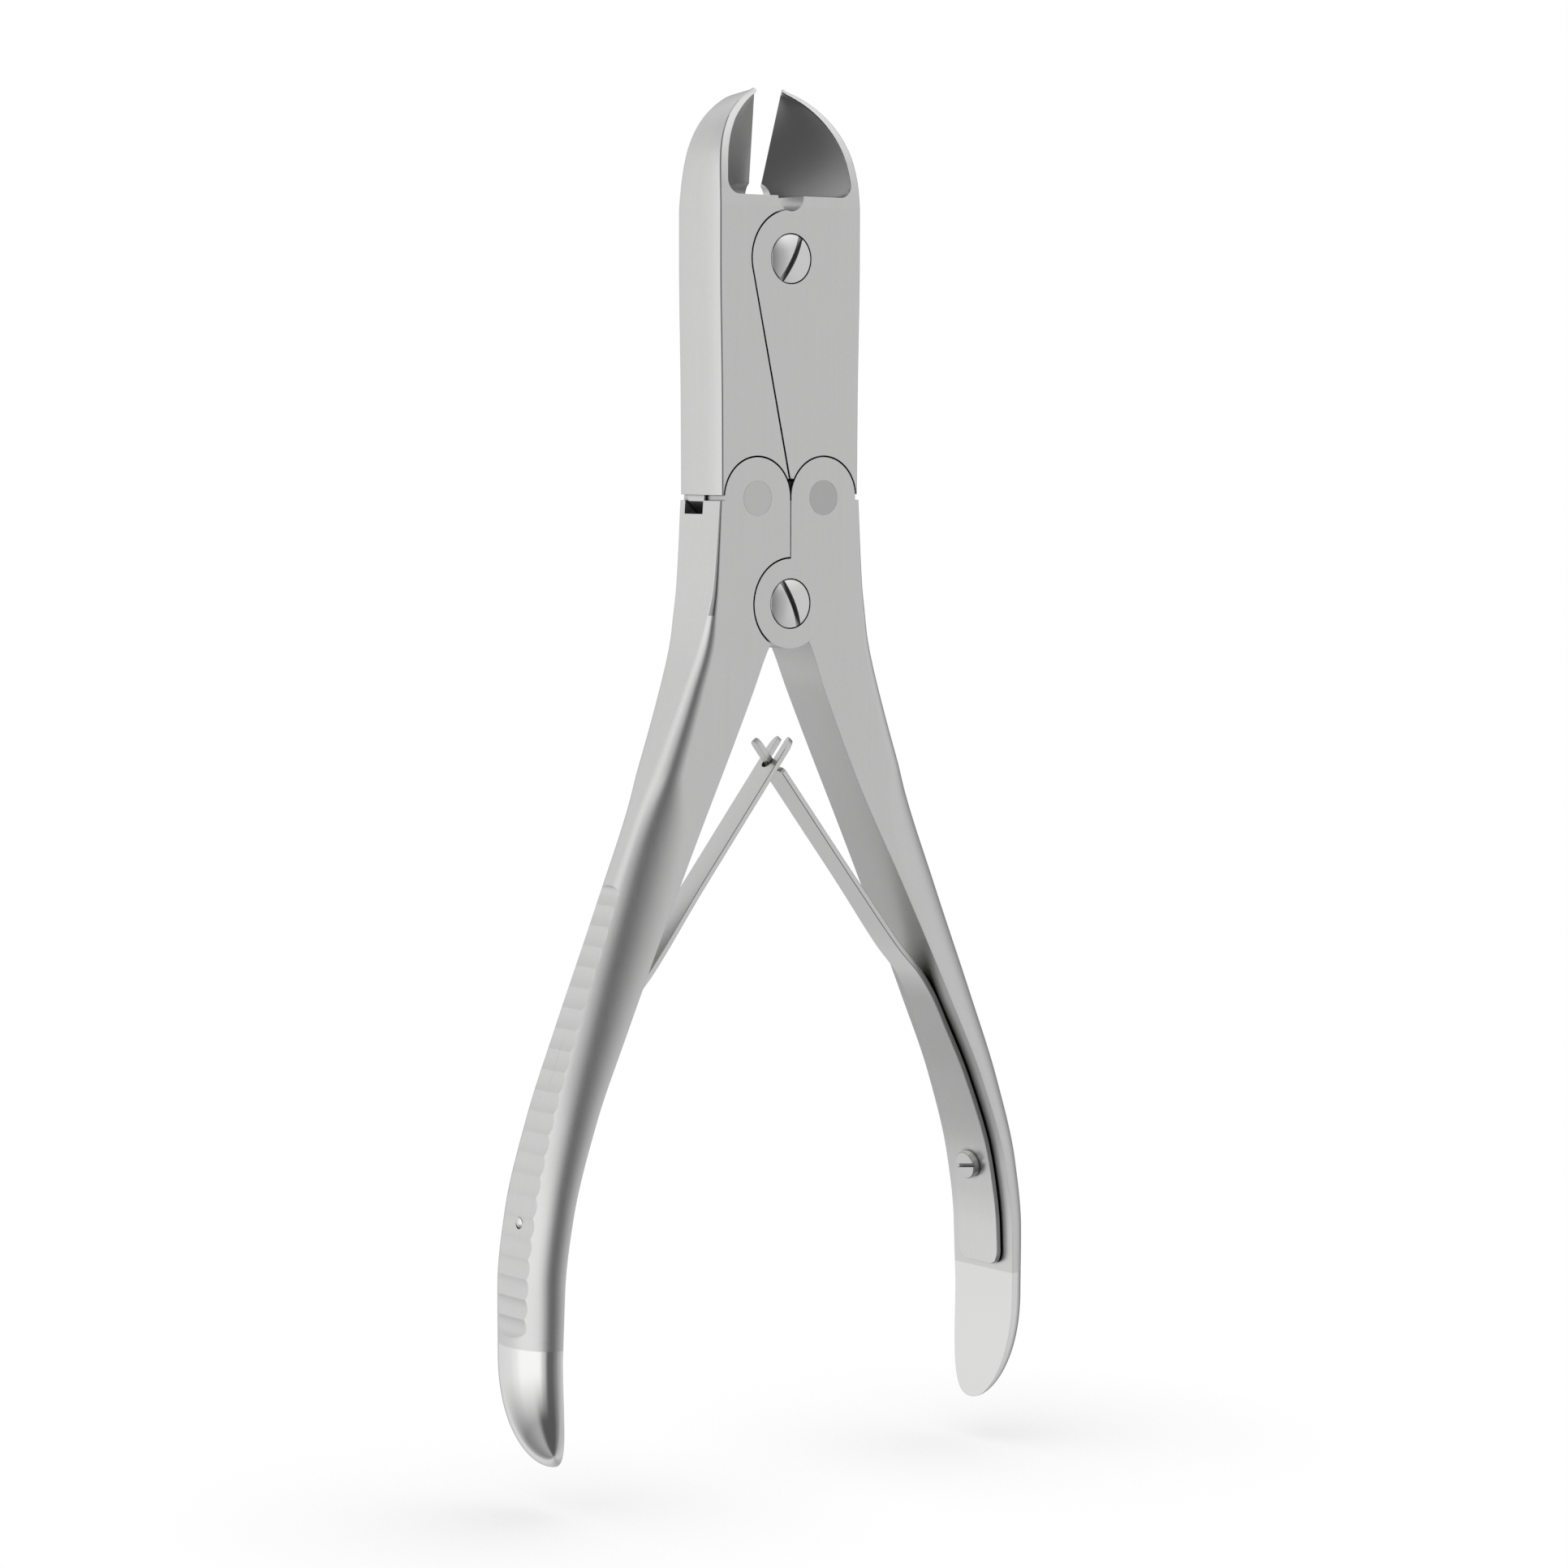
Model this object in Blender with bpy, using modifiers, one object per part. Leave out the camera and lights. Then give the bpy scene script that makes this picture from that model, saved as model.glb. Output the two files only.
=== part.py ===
"""Double-action wire cutter with crossed leaf springs, built as twelve real pieces.

Frame: X to the tool's right, Y into the depth (the front faces -Y), Z up along the tool.
Everything is drawn round the lower pivot, the one that the two handles turn on. The last step
lifts the whole tool, so that the origin ends between the handle ends, at their lowest level.
Run with: blender --background --python part.py
"""
import math

import bmesh
import bpy
from mathutils import Matrix, Vector

MM = 0.001

# ---- driving dimensions -------------------------------------------------------------------
JOINT_DEPTH = 11.6 * MM          # front face to back face of the box joints
HALF_DEPTH = JOINT_DEPTH / 2
JAW_PIVOT_Z = 58.0 * MM          # upper pivot, where the jaws cross
PIN_X = 7.0 * MM                 # link pins, to each side of the middle
PIN_Z = 17.85 * MM
TIP_Z = 86.7 * MM                # jaw tips
GRIP_END_Z = -143.1 * MM         # lowest point of the handles
SEAM = 0.3 * MM                  # gap between neighbouring pieces
RUNNING_GAP = 0.1 * MM           # radial gap round a pivot
FREE_PIVOT_GAP = 0.25 * MM       # radial gap at the pivot that closes the linkage

BEYOND = 2 * HALF_DEPTH          # depth that cutters reach to, clear of every face

# jaws
JAW_BOTTOM_Z = 18.4 * MM
JAW_CUSP_Z = 21.1 * MM           # where the lap plates end between the two lobes
JAW_CUSP_WIDTH = 2.0 * MM
JAW_HUB_RADIUS = 8.1 * MM
JAW_TIP_HALF_GAP = 2.9 * MM
# side edge as (x, z), front and back of the nose as (y, z), all in mm
JAW_OUTER_EDGE = [(14.5, 18.4), (14.6, 35.0), (14.95, 58.0), (14.95, 66.0), (14.85, 69.7),
                  (14.6, 72.4), (14.1, 75.2), (13.1, 78.0), (11.5, 80.7), (10.2, 82.2), (8.4, 83.8),
                  (5.9, 85.4)]
JAW_FRONT_PROFILE = [(-5.8, 66.8), (-5.55, 70.0), (-4.9, 74.0), (-3.8, 78.0), (-2.6, 81.2),
                     (-1.3, 84.0), (0.7, 86.9)]
JAW_BACK_PROFILE = [(4.1, 86.9), (4.6, 82.0), (4.9, 76.0), (5.3, 71.0), (5.8, 66.0)]
RELIEF_RADIUS = 2.7 * MM         # round relief at the root of the cutting edges
RELIEF_Z = 68.6 * MM
EDGE_ROOT_Z = 71.0 * MM
EDGE_ROOT_Y = 4.3 * MM           # the cutting edge runs from the back at its root
EDGE_TIP_Y = 0.7 * MM            # to the middle at the tip
RECESS_FLOOR_Z = 68.5 * MM       # hollow in the front of each jaw, behind its cutting edge
RECESS_CORNER = 2.5 * MM
RECESS_RIM = 1.2 * MM            # rim left standing along the jaw's outer edge
RECESS_WALL = 0.35 * MM          # depth of the step from the rim into the hollow
RECESS_HOLLOW = 0.9 * MM         # how much the hollow sags between edge and rim
RECESS_FULL_WIDTH = 4.0 * MM     # a narrower hollow sags less

# link joint: tongue of the jaw between the two cheeks of the handle's clevis
TONGUE_Y = (-0.7 * MM, 4.0 * MM)     # measured towards the piece's own hub layer
CLEVIS_Y = (-0.9 * MM, 4.2 * MM)
TONGUE_RADIUS = 5.65 * MM
LOBE_RADIUS = 6.85 * MM
LOBE_POCKET_RADIUS = 7.15 * MM
CLEVIS_RADIUS = 7.95 * MM
PIN_RADIUS = 3.1 * MM
PIN_BORE_RADIUS = 3.16 * MM

# pivot screws
HEAD_RADIUS = 4.15 * MM
HEAD_DEPTH = 1.8 * MM            # part of the head sunk in the front plate
HEAD_DOME = 0.75 * MM            # part of the head that stands proud
SHANK_RADIUS = 2.4 * MM
SLOT_WIDTH = 0.9 * MM
SLOT_DEPTH = 1.0 * MM
JAW_SLOT_ANGLE = math.radians(29.0)
HANDLE_SLOT_ANGLE = math.radians(-25.0)

# handles
HANDLE_HUB_RADIUS = 7.6 * MM
GRIP_ROUND_Z = -123.5 * MM       # below this the grip runs out in a rounded end
GRIP_END_DRIFT = 3.0 * MM        # how far the rounded end turns inwards
# height, inner face, outer face, half depth, corner radius (mm)
HANDLE_STATIONS = [(17.45, 0.15, 14.75, 5.8, 0.7), (3.0, 0.15, 15.85, 5.8, 1.4),
                   (-2.0, 0.15, 16.75, 5.8, 1.8), (-6.5, 4.0, 17.8, 5.75, 2.2),
                   (-15.0, 7.7, 20.8, 5.45, 3.0), (-30.0, 14.7, 26.8, 5.3, 4.2),
                   (-50.0, 24.9, 35.1, 6.2, 5.8), (-70.0, 34.7, 43.2, 7.1, 7.1),
                   (-85.0, 41.6, 48.6, 7.7, 7.7), (-100.0, 46.4, 52.5, 8.1, 8.1),
                   (-112.0, 48.1, 53.9, 8.1, 8.1), (-123.5, 48.4, 53.9, 7.85, 7.85)]
# heights of the handle's cross-sections, then shares of the rounded end
HANDLE_LEVELS = [17.45, 10.0, 3.0, -2.0, -6.5, -10.0, -15.0, -22.0, -30.0, -40.0, -50.0, -60.0, -70.0,
                 -77.0, -85.0, -92.0, -100.0, -106.0, -112.0, -118.0, -123.5]
HANDLE_END_SHARES = [0.3, 0.55, 0.75, 0.88, 0.95, 0.985]
HANDLE_CORNER_STEPS = 5
ROUND_FROM = 0.75                # corner radius over half depth where the outside rounds over

# leaf springs
LEAF_THICKNESS = 0.95 * MM
LEAF_GAP = 0.3 * MM              # between leaf and handle where they run together
LEAF_END_Z = -118.5 * MM
LEAF_LEAVES_Z = -75.0 * MM       # above this height the leaf leaves the handle
LEAF_CLAMPED_STEPS = 12
LEAF_BEND = [(33.9, -70.0), (30.9, -65.4)]   # (x, z) in mm, between clamped and straight part
LEAF_STRAIGHT = [-60.5, -50.0]   # heights (mm) of further points of the straight part
LEAF_ANGLE = math.radians(38.5)  # of the straight part from the vertical
CROSSING_Z = -27.3 * MM          # the two leaves cross here, in the middle
LEAF_PAST_CROSSING = 5.3 * MM
FORK_ROOT = 1.3 * MM             # fork root and tongue shoulders lie this far before the crossing
FORK_GAP = 2.6 * MM
TONGUE_WIDTH = 1.9 * MM
# height and width (mm)
LEAF_WIDTHS = [(-118.5, 10.6), (-98.0, 10.2), (-84.0, 9.0), (-70.0, 7.3), (-57.0, 6.0), (-45.0, 5.3),
               (-20.0, 5.3)]
FLEX_Z = -68.5 * MM              # height of the hinge that stands for the leaf's bending
SPRING_SCREW_Z = -100.5 * MM
SPRING_HEAD_RADIUS = 2.45 * MM
SPRING_HEAD_HEIGHT = 1.4 * MM
SPRING_SHANK_RADIUS = 1.2 * MM
SPRING_SHANK_GAP = 0.06 * MM
SPRING_SLOT_WIDTH = 0.7 * MM
SPRING_SLOT_DEPTH = 0.7 * MM
SPRING_SLOT_ANGLE = math.radians(80)
SPRING_END_PROUD = 0.25 * MM

# finish
SATIN_STEEL, SATIN_ROUGHNESS = (0.62, 0.62, 0.61), 0.35
BRIGHT_STEEL, BRIGHT_ROUGHNESS = (0.68, 0.68, 0.67), 0.25

ROUND_SEGMENTS = 40
SMALL_SEGMENTS = 24
LEFT, RIGHT = -1, 1
SIDE_NAME = {LEFT: "left", RIGHT: "right"}


# ---- small helpers ------------------------------------------------------------------------
def curve_value(rows, height, column=1):
    """Value of one column at a height, by a smooth curve through the rows (no overshoot)."""
    rows = sorted(rows)
    xs = [row[0] for row in rows]
    ys = [row[column] for row in rows]
    if height <= xs[0]:
        return ys[0]
    if height >= xs[-1]:
        return ys[-1]
    steps = [(ys[i + 1] - ys[i]) / (xs[i + 1] - xs[i]) for i in range(len(xs) - 1)]
    slopes = [steps[0]] + [0.0] * (len(xs) - 2) + [steps[-1]]
    for i in range(1, len(xs) - 1):
        if steps[i - 1] * steps[i] > 0:
            slopes[i] = 2 * steps[i - 1] * steps[i] / (steps[i - 1] + steps[i])
    i = max(k for k in range(len(xs) - 1) if xs[k] <= height)
    span = xs[i + 1] - xs[i]
    t = (height - xs[i]) / span
    return ((2 * t ** 3 - 3 * t ** 2 + 1) * ys[i] + (t ** 3 - 2 * t ** 2 + t) * span * slopes[i]
            + (3 * t ** 2 - 2 * t ** 3) * ys[i + 1] + (t ** 3 - t ** 2) * span * slopes[i + 1])


def curve_value_mm(rows, height, column=1):
    """The same for a table in millimetres, with height and result in metres."""
    return curve_value(rows, height / MM, column) * MM


def in_metres(points):
    return [(a * MM, b * MM) for a, b in points]


def arc(centre, radius, start, end, segments=16):
    """Points on an arc in the X-Z plane; angles in degrees from +X towards +Z."""
    points = []
    for i in range(segments + 1):
        angle = math.radians(start + (end - start) * i / segments)
        points.append((centre[0] + radius * math.cos(angle), centre[1] + radius * math.sin(angle)))
    return points


def mesh_object(name, bm, collection):
    """New object from a bmesh, with its faces turned outwards."""
    bmesh.ops.remove_doubles(bm, verts=bm.verts, dist=1e-7)
    bmesh.ops.recalc_face_normals(bm, faces=bm.faces)
    mesh = bpy.data.meshes.new(name)
    bm.to_mesh(mesh)
    bm.free()
    obj = bpy.data.objects.new(name, mesh)
    collection.objects.link(obj)
    return obj


def plate(name, outline, y_low, y_high, collection):
    """Flat plate: an outline in the X-Z plane, as thick as from y_low to y_high."""
    curve = bpy.data.curves.new(name, "CURVE")
    curve.dimensions = "2D"
    curve.fill_mode = "BOTH"
    curve.extrude = (y_high - y_low) / 2
    spline = curve.splines.new("POLY")
    spline.points.add(len(outline) - 1)
    for point, (x, z) in zip(spline.points, outline):
        point.co = (x, z, 0.0, 1.0)
    spline.use_cyclic_u = True
    flat = bpy.data.objects.new(name + "_outline", curve)
    flat.rotation_euler = (math.pi / 2, 0.0, 0.0)
    flat.location = (0.0, (y_low + y_high) / 2, 0.0)
    bpy.context.scene.collection.objects.link(flat)
    bpy.context.view_layer.update()
    evaluated = flat.evaluated_get(bpy.context.evaluated_depsgraph_get())
    mesh = bpy.data.meshes.new_from_object(evaluated)
    mesh.transform(flat.matrix_world)
    bpy.data.objects.remove(flat)
    bm = bmesh.new()
    bm.from_mesh(mesh)
    bpy.data.meshes.remove(mesh)
    bmesh.ops.remove_doubles(bm, verts=bm.verts, dist=1e-6)
    bmesh.ops.dissolve_limit(bm, angle_limit=math.radians(0.1), verts=bm.verts, edges=bm.edges)
    return mesh_object(name, bm, collection)


def round_bar(name, start, end, radius, collection, segments=ROUND_SEGMENTS):
    """Cylinder between two points."""
    start, end = Vector(start), Vector(end)
    bm = bmesh.new()
    bmesh.ops.create_cone(bm, cap_ends=True, segments=segments, radius1=radius, radius2=radius,
                          depth=(end - start).length)
    turn = (end - start).to_track_quat("Z", "Y").to_matrix()
    bmesh.ops.rotate(bm, verts=bm.verts, matrix=turn)
    bmesh.ops.translate(bm, verts=bm.verts, vec=(start + end) / 2)
    return mesh_object(name, bm, collection)


def block(name, low, high, collection):
    """Box between two corners."""
    bm = bmesh.new()
    bmesh.ops.create_cube(bm, size=1.0)
    size = [b - a for a, b in zip(low, high)]
    bmesh.ops.scale(bm, verts=bm.verts, vec=size)
    bmesh.ops.translate(bm, verts=bm.verts, vec=[(a + b) / 2 for a, b in zip(low, high)])
    return mesh_object(name, bm, collection)


def loft(name, sections, collection):
    """Skin through closed sections that all have the same number of points."""
    bm = bmesh.new()
    rings = [[bm.verts.new(point) for point in section] for section in sections]
    count = len(rings[0])
    for lower, upper in zip(rings, rings[1:]):
        for i in range(count):
            bm.faces.new((lower[i], lower[(i + 1) % count], upper[(i + 1) % count], upper[i]))
    bm.faces.new(rings[0])
    bm.faces.new(rings[-1])
    return mesh_object(name, bm, collection)


def boolean(target, tool, operation):
    modifier = target.modifiers.new(operation.title() + "_" + tool.name, "BOOLEAN")
    modifier.operation = operation
    modifier.object = tool
    modifier.solver = "EXACT"


class Side:
    """Places geometry on one side: x grows outwards, y towards that side's own hub layer."""

    def __init__(self, side, cutters):
        self.side = side
        self.name = SIDE_NAME[side]
        self.cutters = cutters

    def x(self, x):
        return self.side * x

    def y_range(self, y_low, y_high):
        return sorted((-self.side * y_low, -self.side * y_high))

    def outline(self, points):
        return [(self.side * x, z) for x, z in points]

    def plate(self, name, points, y_low, y_high):
        low, high = self.y_range(y_low, y_high)
        return plate(self.name + "_" + name, self.outline(points), low, high, self.cutters)

    def bar(self, name, x, z, radius, y_low, y_high):
        low, high = self.y_range(y_low, y_high)
        ends = (self.x(x), low, z), (self.x(x), high, z)
        return round_bar(self.name + "_" + name, *ends, radius, self.cutters)


# ---- jaws ---------------------------------------------------------------------------------
def edge_x(height):
    """Half gap between the open jaws: their faces lie on planes through the upper pivot."""
    return JAW_TIP_HALF_GAP * (height - JAW_PIVOT_Z) / (TIP_Z - JAW_PIVOT_Z)


def edge_y(height):
    """Depth of the cutting edge."""
    share = (height - EDGE_ROOT_Z) / (TIP_Z - EDGE_ROOT_Z)
    return EDGE_ROOT_Y + (EDGE_TIP_Y - EDGE_ROOT_Y) * share


def jaw_outer_x(height):
    rows = [(z, x) for x, z in JAW_OUTER_EDGE] + [(TIP_Z / MM, JAW_TIP_HALF_GAP / MM)]
    return curve_value_mm(rows, height)


def jaw_front_y(height):
    rows = [(z, y) for y, z in JAW_FRONT_PROFILE]
    return curve_value_mm(rows, height)


def teardrop(radius, apex_z, half_width):
    """Lap plate round the upper pivot, running down to a narrow end between the lobes."""
    drop = JAW_PIVOT_Z - apex_z
    tangent = math.degrees(math.acos((radius - half_width) / drop))
    points = arc((0.0, JAW_PIVOT_Z), radius, -90 + tangent, 270 - tangent, 40)
    return points + [(-half_width, apex_z), (half_width, apex_z)]


def jaw_blank(place, collection):
    outline = [(SEAM / 2, JAW_BOTTOM_Z)] + in_metres(JAW_OUTER_EDGE)
    outline += [(JAW_TIP_HALF_GAP, TIP_Z), (edge_x(RELIEF_Z), RELIEF_Z),
                (SEAM / 2, RELIEF_Z - RELIEF_RADIUS / 2)]
    return plate("jaw_" + place.name, place.outline(outline), -HALF_DEPTH, HALF_DEPTH, collection)


def nose_profile(place):
    """Side view of the jaw, as a solid that trims its front and back."""
    front = in_metres(JAW_FRONT_PROFILE)
    back = in_metres(JAW_BACK_PROFILE)
    section = [(-BEYOND, 0.0), (-BEYOND, front[0][1])] + front
    section += back + [(BEYOND, back[-1][1]), (BEYOND, 0.0)]
    reach = 2 * JAW_OUTER_EDGE[0][0] * MM
    return loft(place.name + "_nose_profile", [[(x, y, z) for y, z in section] for x in (-reach, reach)],
                place.cutters)


def recess_rim(height):
    """Outer limit of the hollow at one height, as (x, y)."""
    sliver = 0.02 * MM
    x = max(jaw_outer_x(height) - RECESS_RIM, edge_x(height) + sliver)
    floor = height - RECESS_FLOOR_Z
    if floor < RECESS_CORNER:
        x -= RECESS_CORNER - math.sqrt(max(RECESS_CORNER ** 2 - (RECESS_CORNER - floor) ** 2, 0.0))
    return x, min(jaw_front_y(height) + RECESS_WALL, edge_y(height) - sliver)


def recess_section(place, height):
    """One level of the hollow, from past the cutting edge out to the rim."""
    inner_x, inner_y = edge_x(height), edge_y(height)
    rim_x, rim_y = recess_rim(height)
    steps = 6
    hollow = 4 * RECESS_HOLLOW * min(1.0, (rim_x - inner_x) / RECESS_FULL_WIDTH)
    points = []
    for i in range(steps + 1):
        share = i / steps
        sag = hollow * share * (1 - share)
        points.append((inner_x + (rim_x - inner_x) * share, inner_y + (rim_y - inner_y) * share + sag))
    slope = (points[1][1] - points[0][1]) / (points[1][0] - points[0][0])
    overrun = inner_x + 1.5 * MM
    points.insert(0, (inner_x - overrun, inner_y - slope * overrun))
    points += [(rim_x, -BEYOND), (points[0][0], -BEYOND)]
    return [(place.x(x), y, height) for x, y in points]


def recess(place):
    """The whole hollow: close levels round its lower corner, then even ones up to the tip."""
    turns = [math.radians(angle) for angle in (0, 30, 55, 90)]
    levels = [RECESS_FLOOR_Z + RECESS_CORNER * (1 - math.cos(turn)) for turn in turns]
    steps = 9
    rise = TIP_Z + SEAM - levels[-1]
    levels += [levels[-1] + rise * i / steps for i in range(1, steps + 1)]
    return loft(place.name + "_recess", [recess_section(place, z) for z in levels], place.cutters)


def cut_link_tongue(jaw, place):
    """Tongue on the link pin, with room beside it for the handle's two lobes."""
    low_z = JAW_BOTTOM_Z - SEAM
    cusp = [(-SEAM, low_z), (JAW_CUSP_WIDTH, low_z), (JAW_CUSP_WIDTH, JAW_CUSP_Z), (-SEAM, JAW_CUSP_Z)]
    for name, low, high in (("away", -BEYOND, TONGUE_Y[0]), ("near", TONGUE_Y[1], BEYOND)):
        pocket = place.bar("lobe_pocket_" + name, PIN_X, PIN_Z, LOBE_POCKET_RADIUS, low, high)
        boolean(jaw, pocket, "DIFFERENCE")
        boolean(jaw, place.plate("cusp_" + name, cusp, low, high), "DIFFERENCE")
    boolean(jaw, place.bar("tongue", PIN_X, PIN_Z, TONGUE_RADIUS, *TONGUE_Y), "UNION")
    boolean(jaw, place.bar("jaw_pin_bore", PIN_X, PIN_Z, PIN_BORE_RADIUS, -BEYOND, BEYOND), "DIFFERENCE")


def pivot_bore(place, name, height, shank_gap, head_gap):
    """Cutters for a pivot screw: the shank goes through, the head sits in the front plate."""
    front, back = (0, -BEYOND, height), (0, BEYOND, height)
    seat = (0, -HALF_DEPTH + HEAD_DEPTH + head_gap, height)
    label = place.name + "_" + name
    shank = round_bar(label + "_bore", front, back, SHANK_RADIUS + shank_gap, place.cutters)
    head = round_bar(label + "_head_seat", front, seat, HEAD_RADIUS + head_gap, place.cutters)
    return shank, head


def make_jaw(place, collection):
    jaw = jaw_blank(place, collection)
    boolean(jaw, nose_profile(place), "INTERSECT")
    hub = place.plate("jaw_hub", teardrop(JAW_HUB_RADIUS, JAW_CUSP_Z, 0.05 * MM), SEAM / 2, HALF_DEPTH)
    room_outline = teardrop(JAW_HUB_RADIUS + SEAM, JAW_CUSP_Z - SEAM, 0.35 * MM)
    room = place.plate("jaw_hub_room", room_outline, -BEYOND, SEAM / 2)
    boolean(jaw, hub, "UNION")
    boolean(jaw, room, "DIFFERENCE")
    cut_link_tongue(jaw, place)
    relief = round_bar(place.name + "_relief", (0, -BEYOND, RELIEF_Z), (0, BEYOND, RELIEF_Z),
                       RELIEF_RADIUS, place.cutters)
    boolean(jaw, relief, "DIFFERENCE")
    boolean(jaw, recess(place), "DIFFERENCE")
    shank_gap = RUNNING_GAP if place.side == LEFT else FREE_PIVOT_GAP
    shank, head = pivot_bore(place, "jaw_pivot", JAW_PIVOT_Z, shank_gap, FREE_PIVOT_GAP)
    boolean(jaw, shank, "DIFFERENCE")
    boolean(jaw, head, "DIFFERENCE")
    return jaw


# ---- screws and pins ----------------------------------------------------------------------
def turned(name, profile, collection, axis_point, turn, segments=ROUND_SEGMENTS):
    """Turned piece: a profile of (radius, height) spun round local Z, then placed."""
    bm = bmesh.new()
    verts = [bm.verts.new((radius, 0.0, height)) for radius, height in profile]
    for a, b in zip(verts, verts[1:]):
        bm.edges.new((a, b))
    mesh = bpy.data.meshes.new(name)
    bm.to_mesh(mesh)
    bm.free()
    obj = bpy.data.objects.new(name, mesh)
    collection.objects.link(obj)
    spin = obj.modifiers.new("Spin", "SCREW")
    spin.steps = segments
    spin.render_steps = segments
    spin.use_merge_vertices = True
    spin.merge_threshold = 1e-6
    obj.rotation_euler = turn
    obj.location = axis_point
    return obj


def dome_profile(radius, base, rise, segments=6):
    """Shallow dome from the axis out to its rim, as (radius, height) points."""
    points = []
    for i in range(segments + 1):
        share = i / segments
        points.append((radius * share, base + rise * (1 - share ** 2)))
    return points


def slot_cutter(name, length, width, depth, top, angle, obj, collection):
    """Screwdriver slot across a head, in the head's own frame."""
    cutter = block(name, (-length, -width / 2, top - depth), (length, width / 2, top + depth), collection)
    cutter.data.transform(obj.rotation_euler.to_matrix().to_4x4() @ Matrix.Rotation(angle, 4, "Z"))
    cutter.location = obj.location
    return cutter


def make_pivot_screw(name, height, slot_angle, collection, cutters):
    """Domed, slotted head in the front plate; local Z points out of the front face."""
    top = dome_profile(HEAD_RADIUS, 0.0, HEAD_DOME)
    profile = top + [(HEAD_RADIUS, -HEAD_DEPTH), (SHANK_RADIUS, -HEAD_DEPTH),
                     (SHANK_RADIUS, -JOINT_DEPTH), (0.0, -JOINT_DEPTH)]
    screw = turned(name, profile, collection, (0, -HALF_DEPTH, height), (math.pi / 2, 0, 0))
    slot = slot_cutter(name + "_slot", HEAD_RADIUS * 2, SLOT_WIDTH, SLOT_DEPTH, HEAD_DOME,
                       math.pi / 2 - slot_angle, screw, cutters)
    boolean(screw, slot, "DIFFERENCE")
    return screw


def make_link_pin(place, collection):
    return round_bar("link_pin_" + place.name, (place.x(PIN_X), -HALF_DEPTH, PIN_Z),
                     (place.x(PIN_X), HALF_DEPTH, PIN_Z), PIN_RADIUS, collection)


# ---- handles ------------------------------------------------------------------------------
def handle_values(height):
    """Inner face, outer face, half depth and corner radius of the handle at one height."""
    level = max(height, GRIP_ROUND_Z)
    inner, outer, half, corner = (curve_value_mm(HANDLE_STATIONS, level, column) for column in (1, 2, 3, 4))
    if height < GRIP_ROUND_Z:
        run = (GRIP_ROUND_Z - height) / (GRIP_ROUND_Z - GRIP_END_Z)
        inner, outer = inner - GRIP_END_DRIFT * run ** 2, outer - GRIP_END_DRIFT * run ** 2
        outer = inner + (outer - inner) * math.sqrt(max(1 - run ** 3, 0.0))
        half *= max(1 - run ** 2.3, 0.0) ** (1 / 2.3)
        corner = half
    return inner, outer, half, corner


def fully_round(share):
    """How far the outer face has become one half ellipse, from corner radius over half depth."""
    t = min(max((share - ROUND_FROM) / (1 - ROUND_FROM), 0.0), 1.0)
    return t * t * (3 - 2 * t)


def handle_section(place, height):
    """D-shaped level: flat inner face, then two rounded corners with a flat between them."""
    inner, outer, half, corner = handle_values(height)
    corner_x = corner + (outer - inner - corner) * fully_round(corner / half)
    points = [(inner, half), (inner, -half)]
    turns = [math.radians(90 * i / HANDLE_CORNER_STEPS) for i in range(HANDLE_CORNER_STEPS + 1)]
    for sign, ordered in ((-1, turns), (1, turns[::-1])):
        for turn in ordered:
            x = outer - corner_x + corner_x * math.sin(turn)
            points.append((x, sign * (half - corner + corner * math.cos(turn))))
    return [(place.x(x), y, height) for x, y in points]


def handle_levels():
    """Heights of the cross-sections, from the joint down to the rounded end."""
    span = GRIP_ROUND_Z - GRIP_END_Z
    return [z * MM for z in HANDLE_LEVELS] + [GRIP_ROUND_Z - span * share for share in HANDLE_END_SHARES]


def make_handle(place, collection):
    sections = [handle_section(place, z) for z in handle_levels()]
    handle = loft("handle_" + place.name, sections, collection)
    boolean(handle, place.bar("lobes", PIN_X, PIN_Z, LOBE_RADIUS, -HALF_DEPTH, HALF_DEPTH), "UNION")
    boolean(handle, place.bar("handle_hub", 0, 0, HANDLE_HUB_RADIUS, SEAM / 2, HALF_DEPTH), "UNION")
    room = place.bar("handle_hub_room", 0, 0, HANDLE_HUB_RADIUS + SEAM, -BEYOND, SEAM / 2)
    boolean(handle, room, "DIFFERENCE")
    boolean(handle, place.bar("clevis_slot", PIN_X, PIN_Z, CLEVIS_RADIUS, *CLEVIS_Y), "DIFFERENCE")
    pin_bore = place.bar("handle_pin_bore", PIN_X, PIN_Z, PIN_BORE_RADIUS, -BEYOND, BEYOND)
    boolean(handle, pin_bore, "DIFFERENCE")
    shank, head = pivot_bore(place, "handle_pivot", 0.0, RUNNING_GAP, RUNNING_GAP)
    boolean(handle, shank, "DIFFERENCE")
    boolean(handle, head, "DIFFERENCE")
    boolean(handle, spring_screw_bore(place), "DIFFERENCE")
    return handle


# ---- leaf springs -------------------------------------------------------------------------
def leaf_path():
    """Middle line of a leaf from its lower end to its tip, as (x, z) points."""
    off = LEAF_GAP + LEAF_THICKNESS / 2
    points = []
    for i in range(LEAF_CLAMPED_STEPS + 1):
        z = LEAF_END_Z + (LEAF_LEAVES_Z - LEAF_END_Z) * i / LEAF_CLAMPED_STEPS
        points.append((handle_values(z)[0] - off / math.cos(inner_face_lean(z)), z))
    points += in_metres(LEAF_BEND)
    points += [((CROSSING_Z - z * MM) * math.tan(LEAF_ANGLE), z * MM) for z in LEAF_STRAIGHT]
    return points + [(0.0, CROSSING_Z), point_before_crossing(-LEAF_PAST_CROSSING)]


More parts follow.
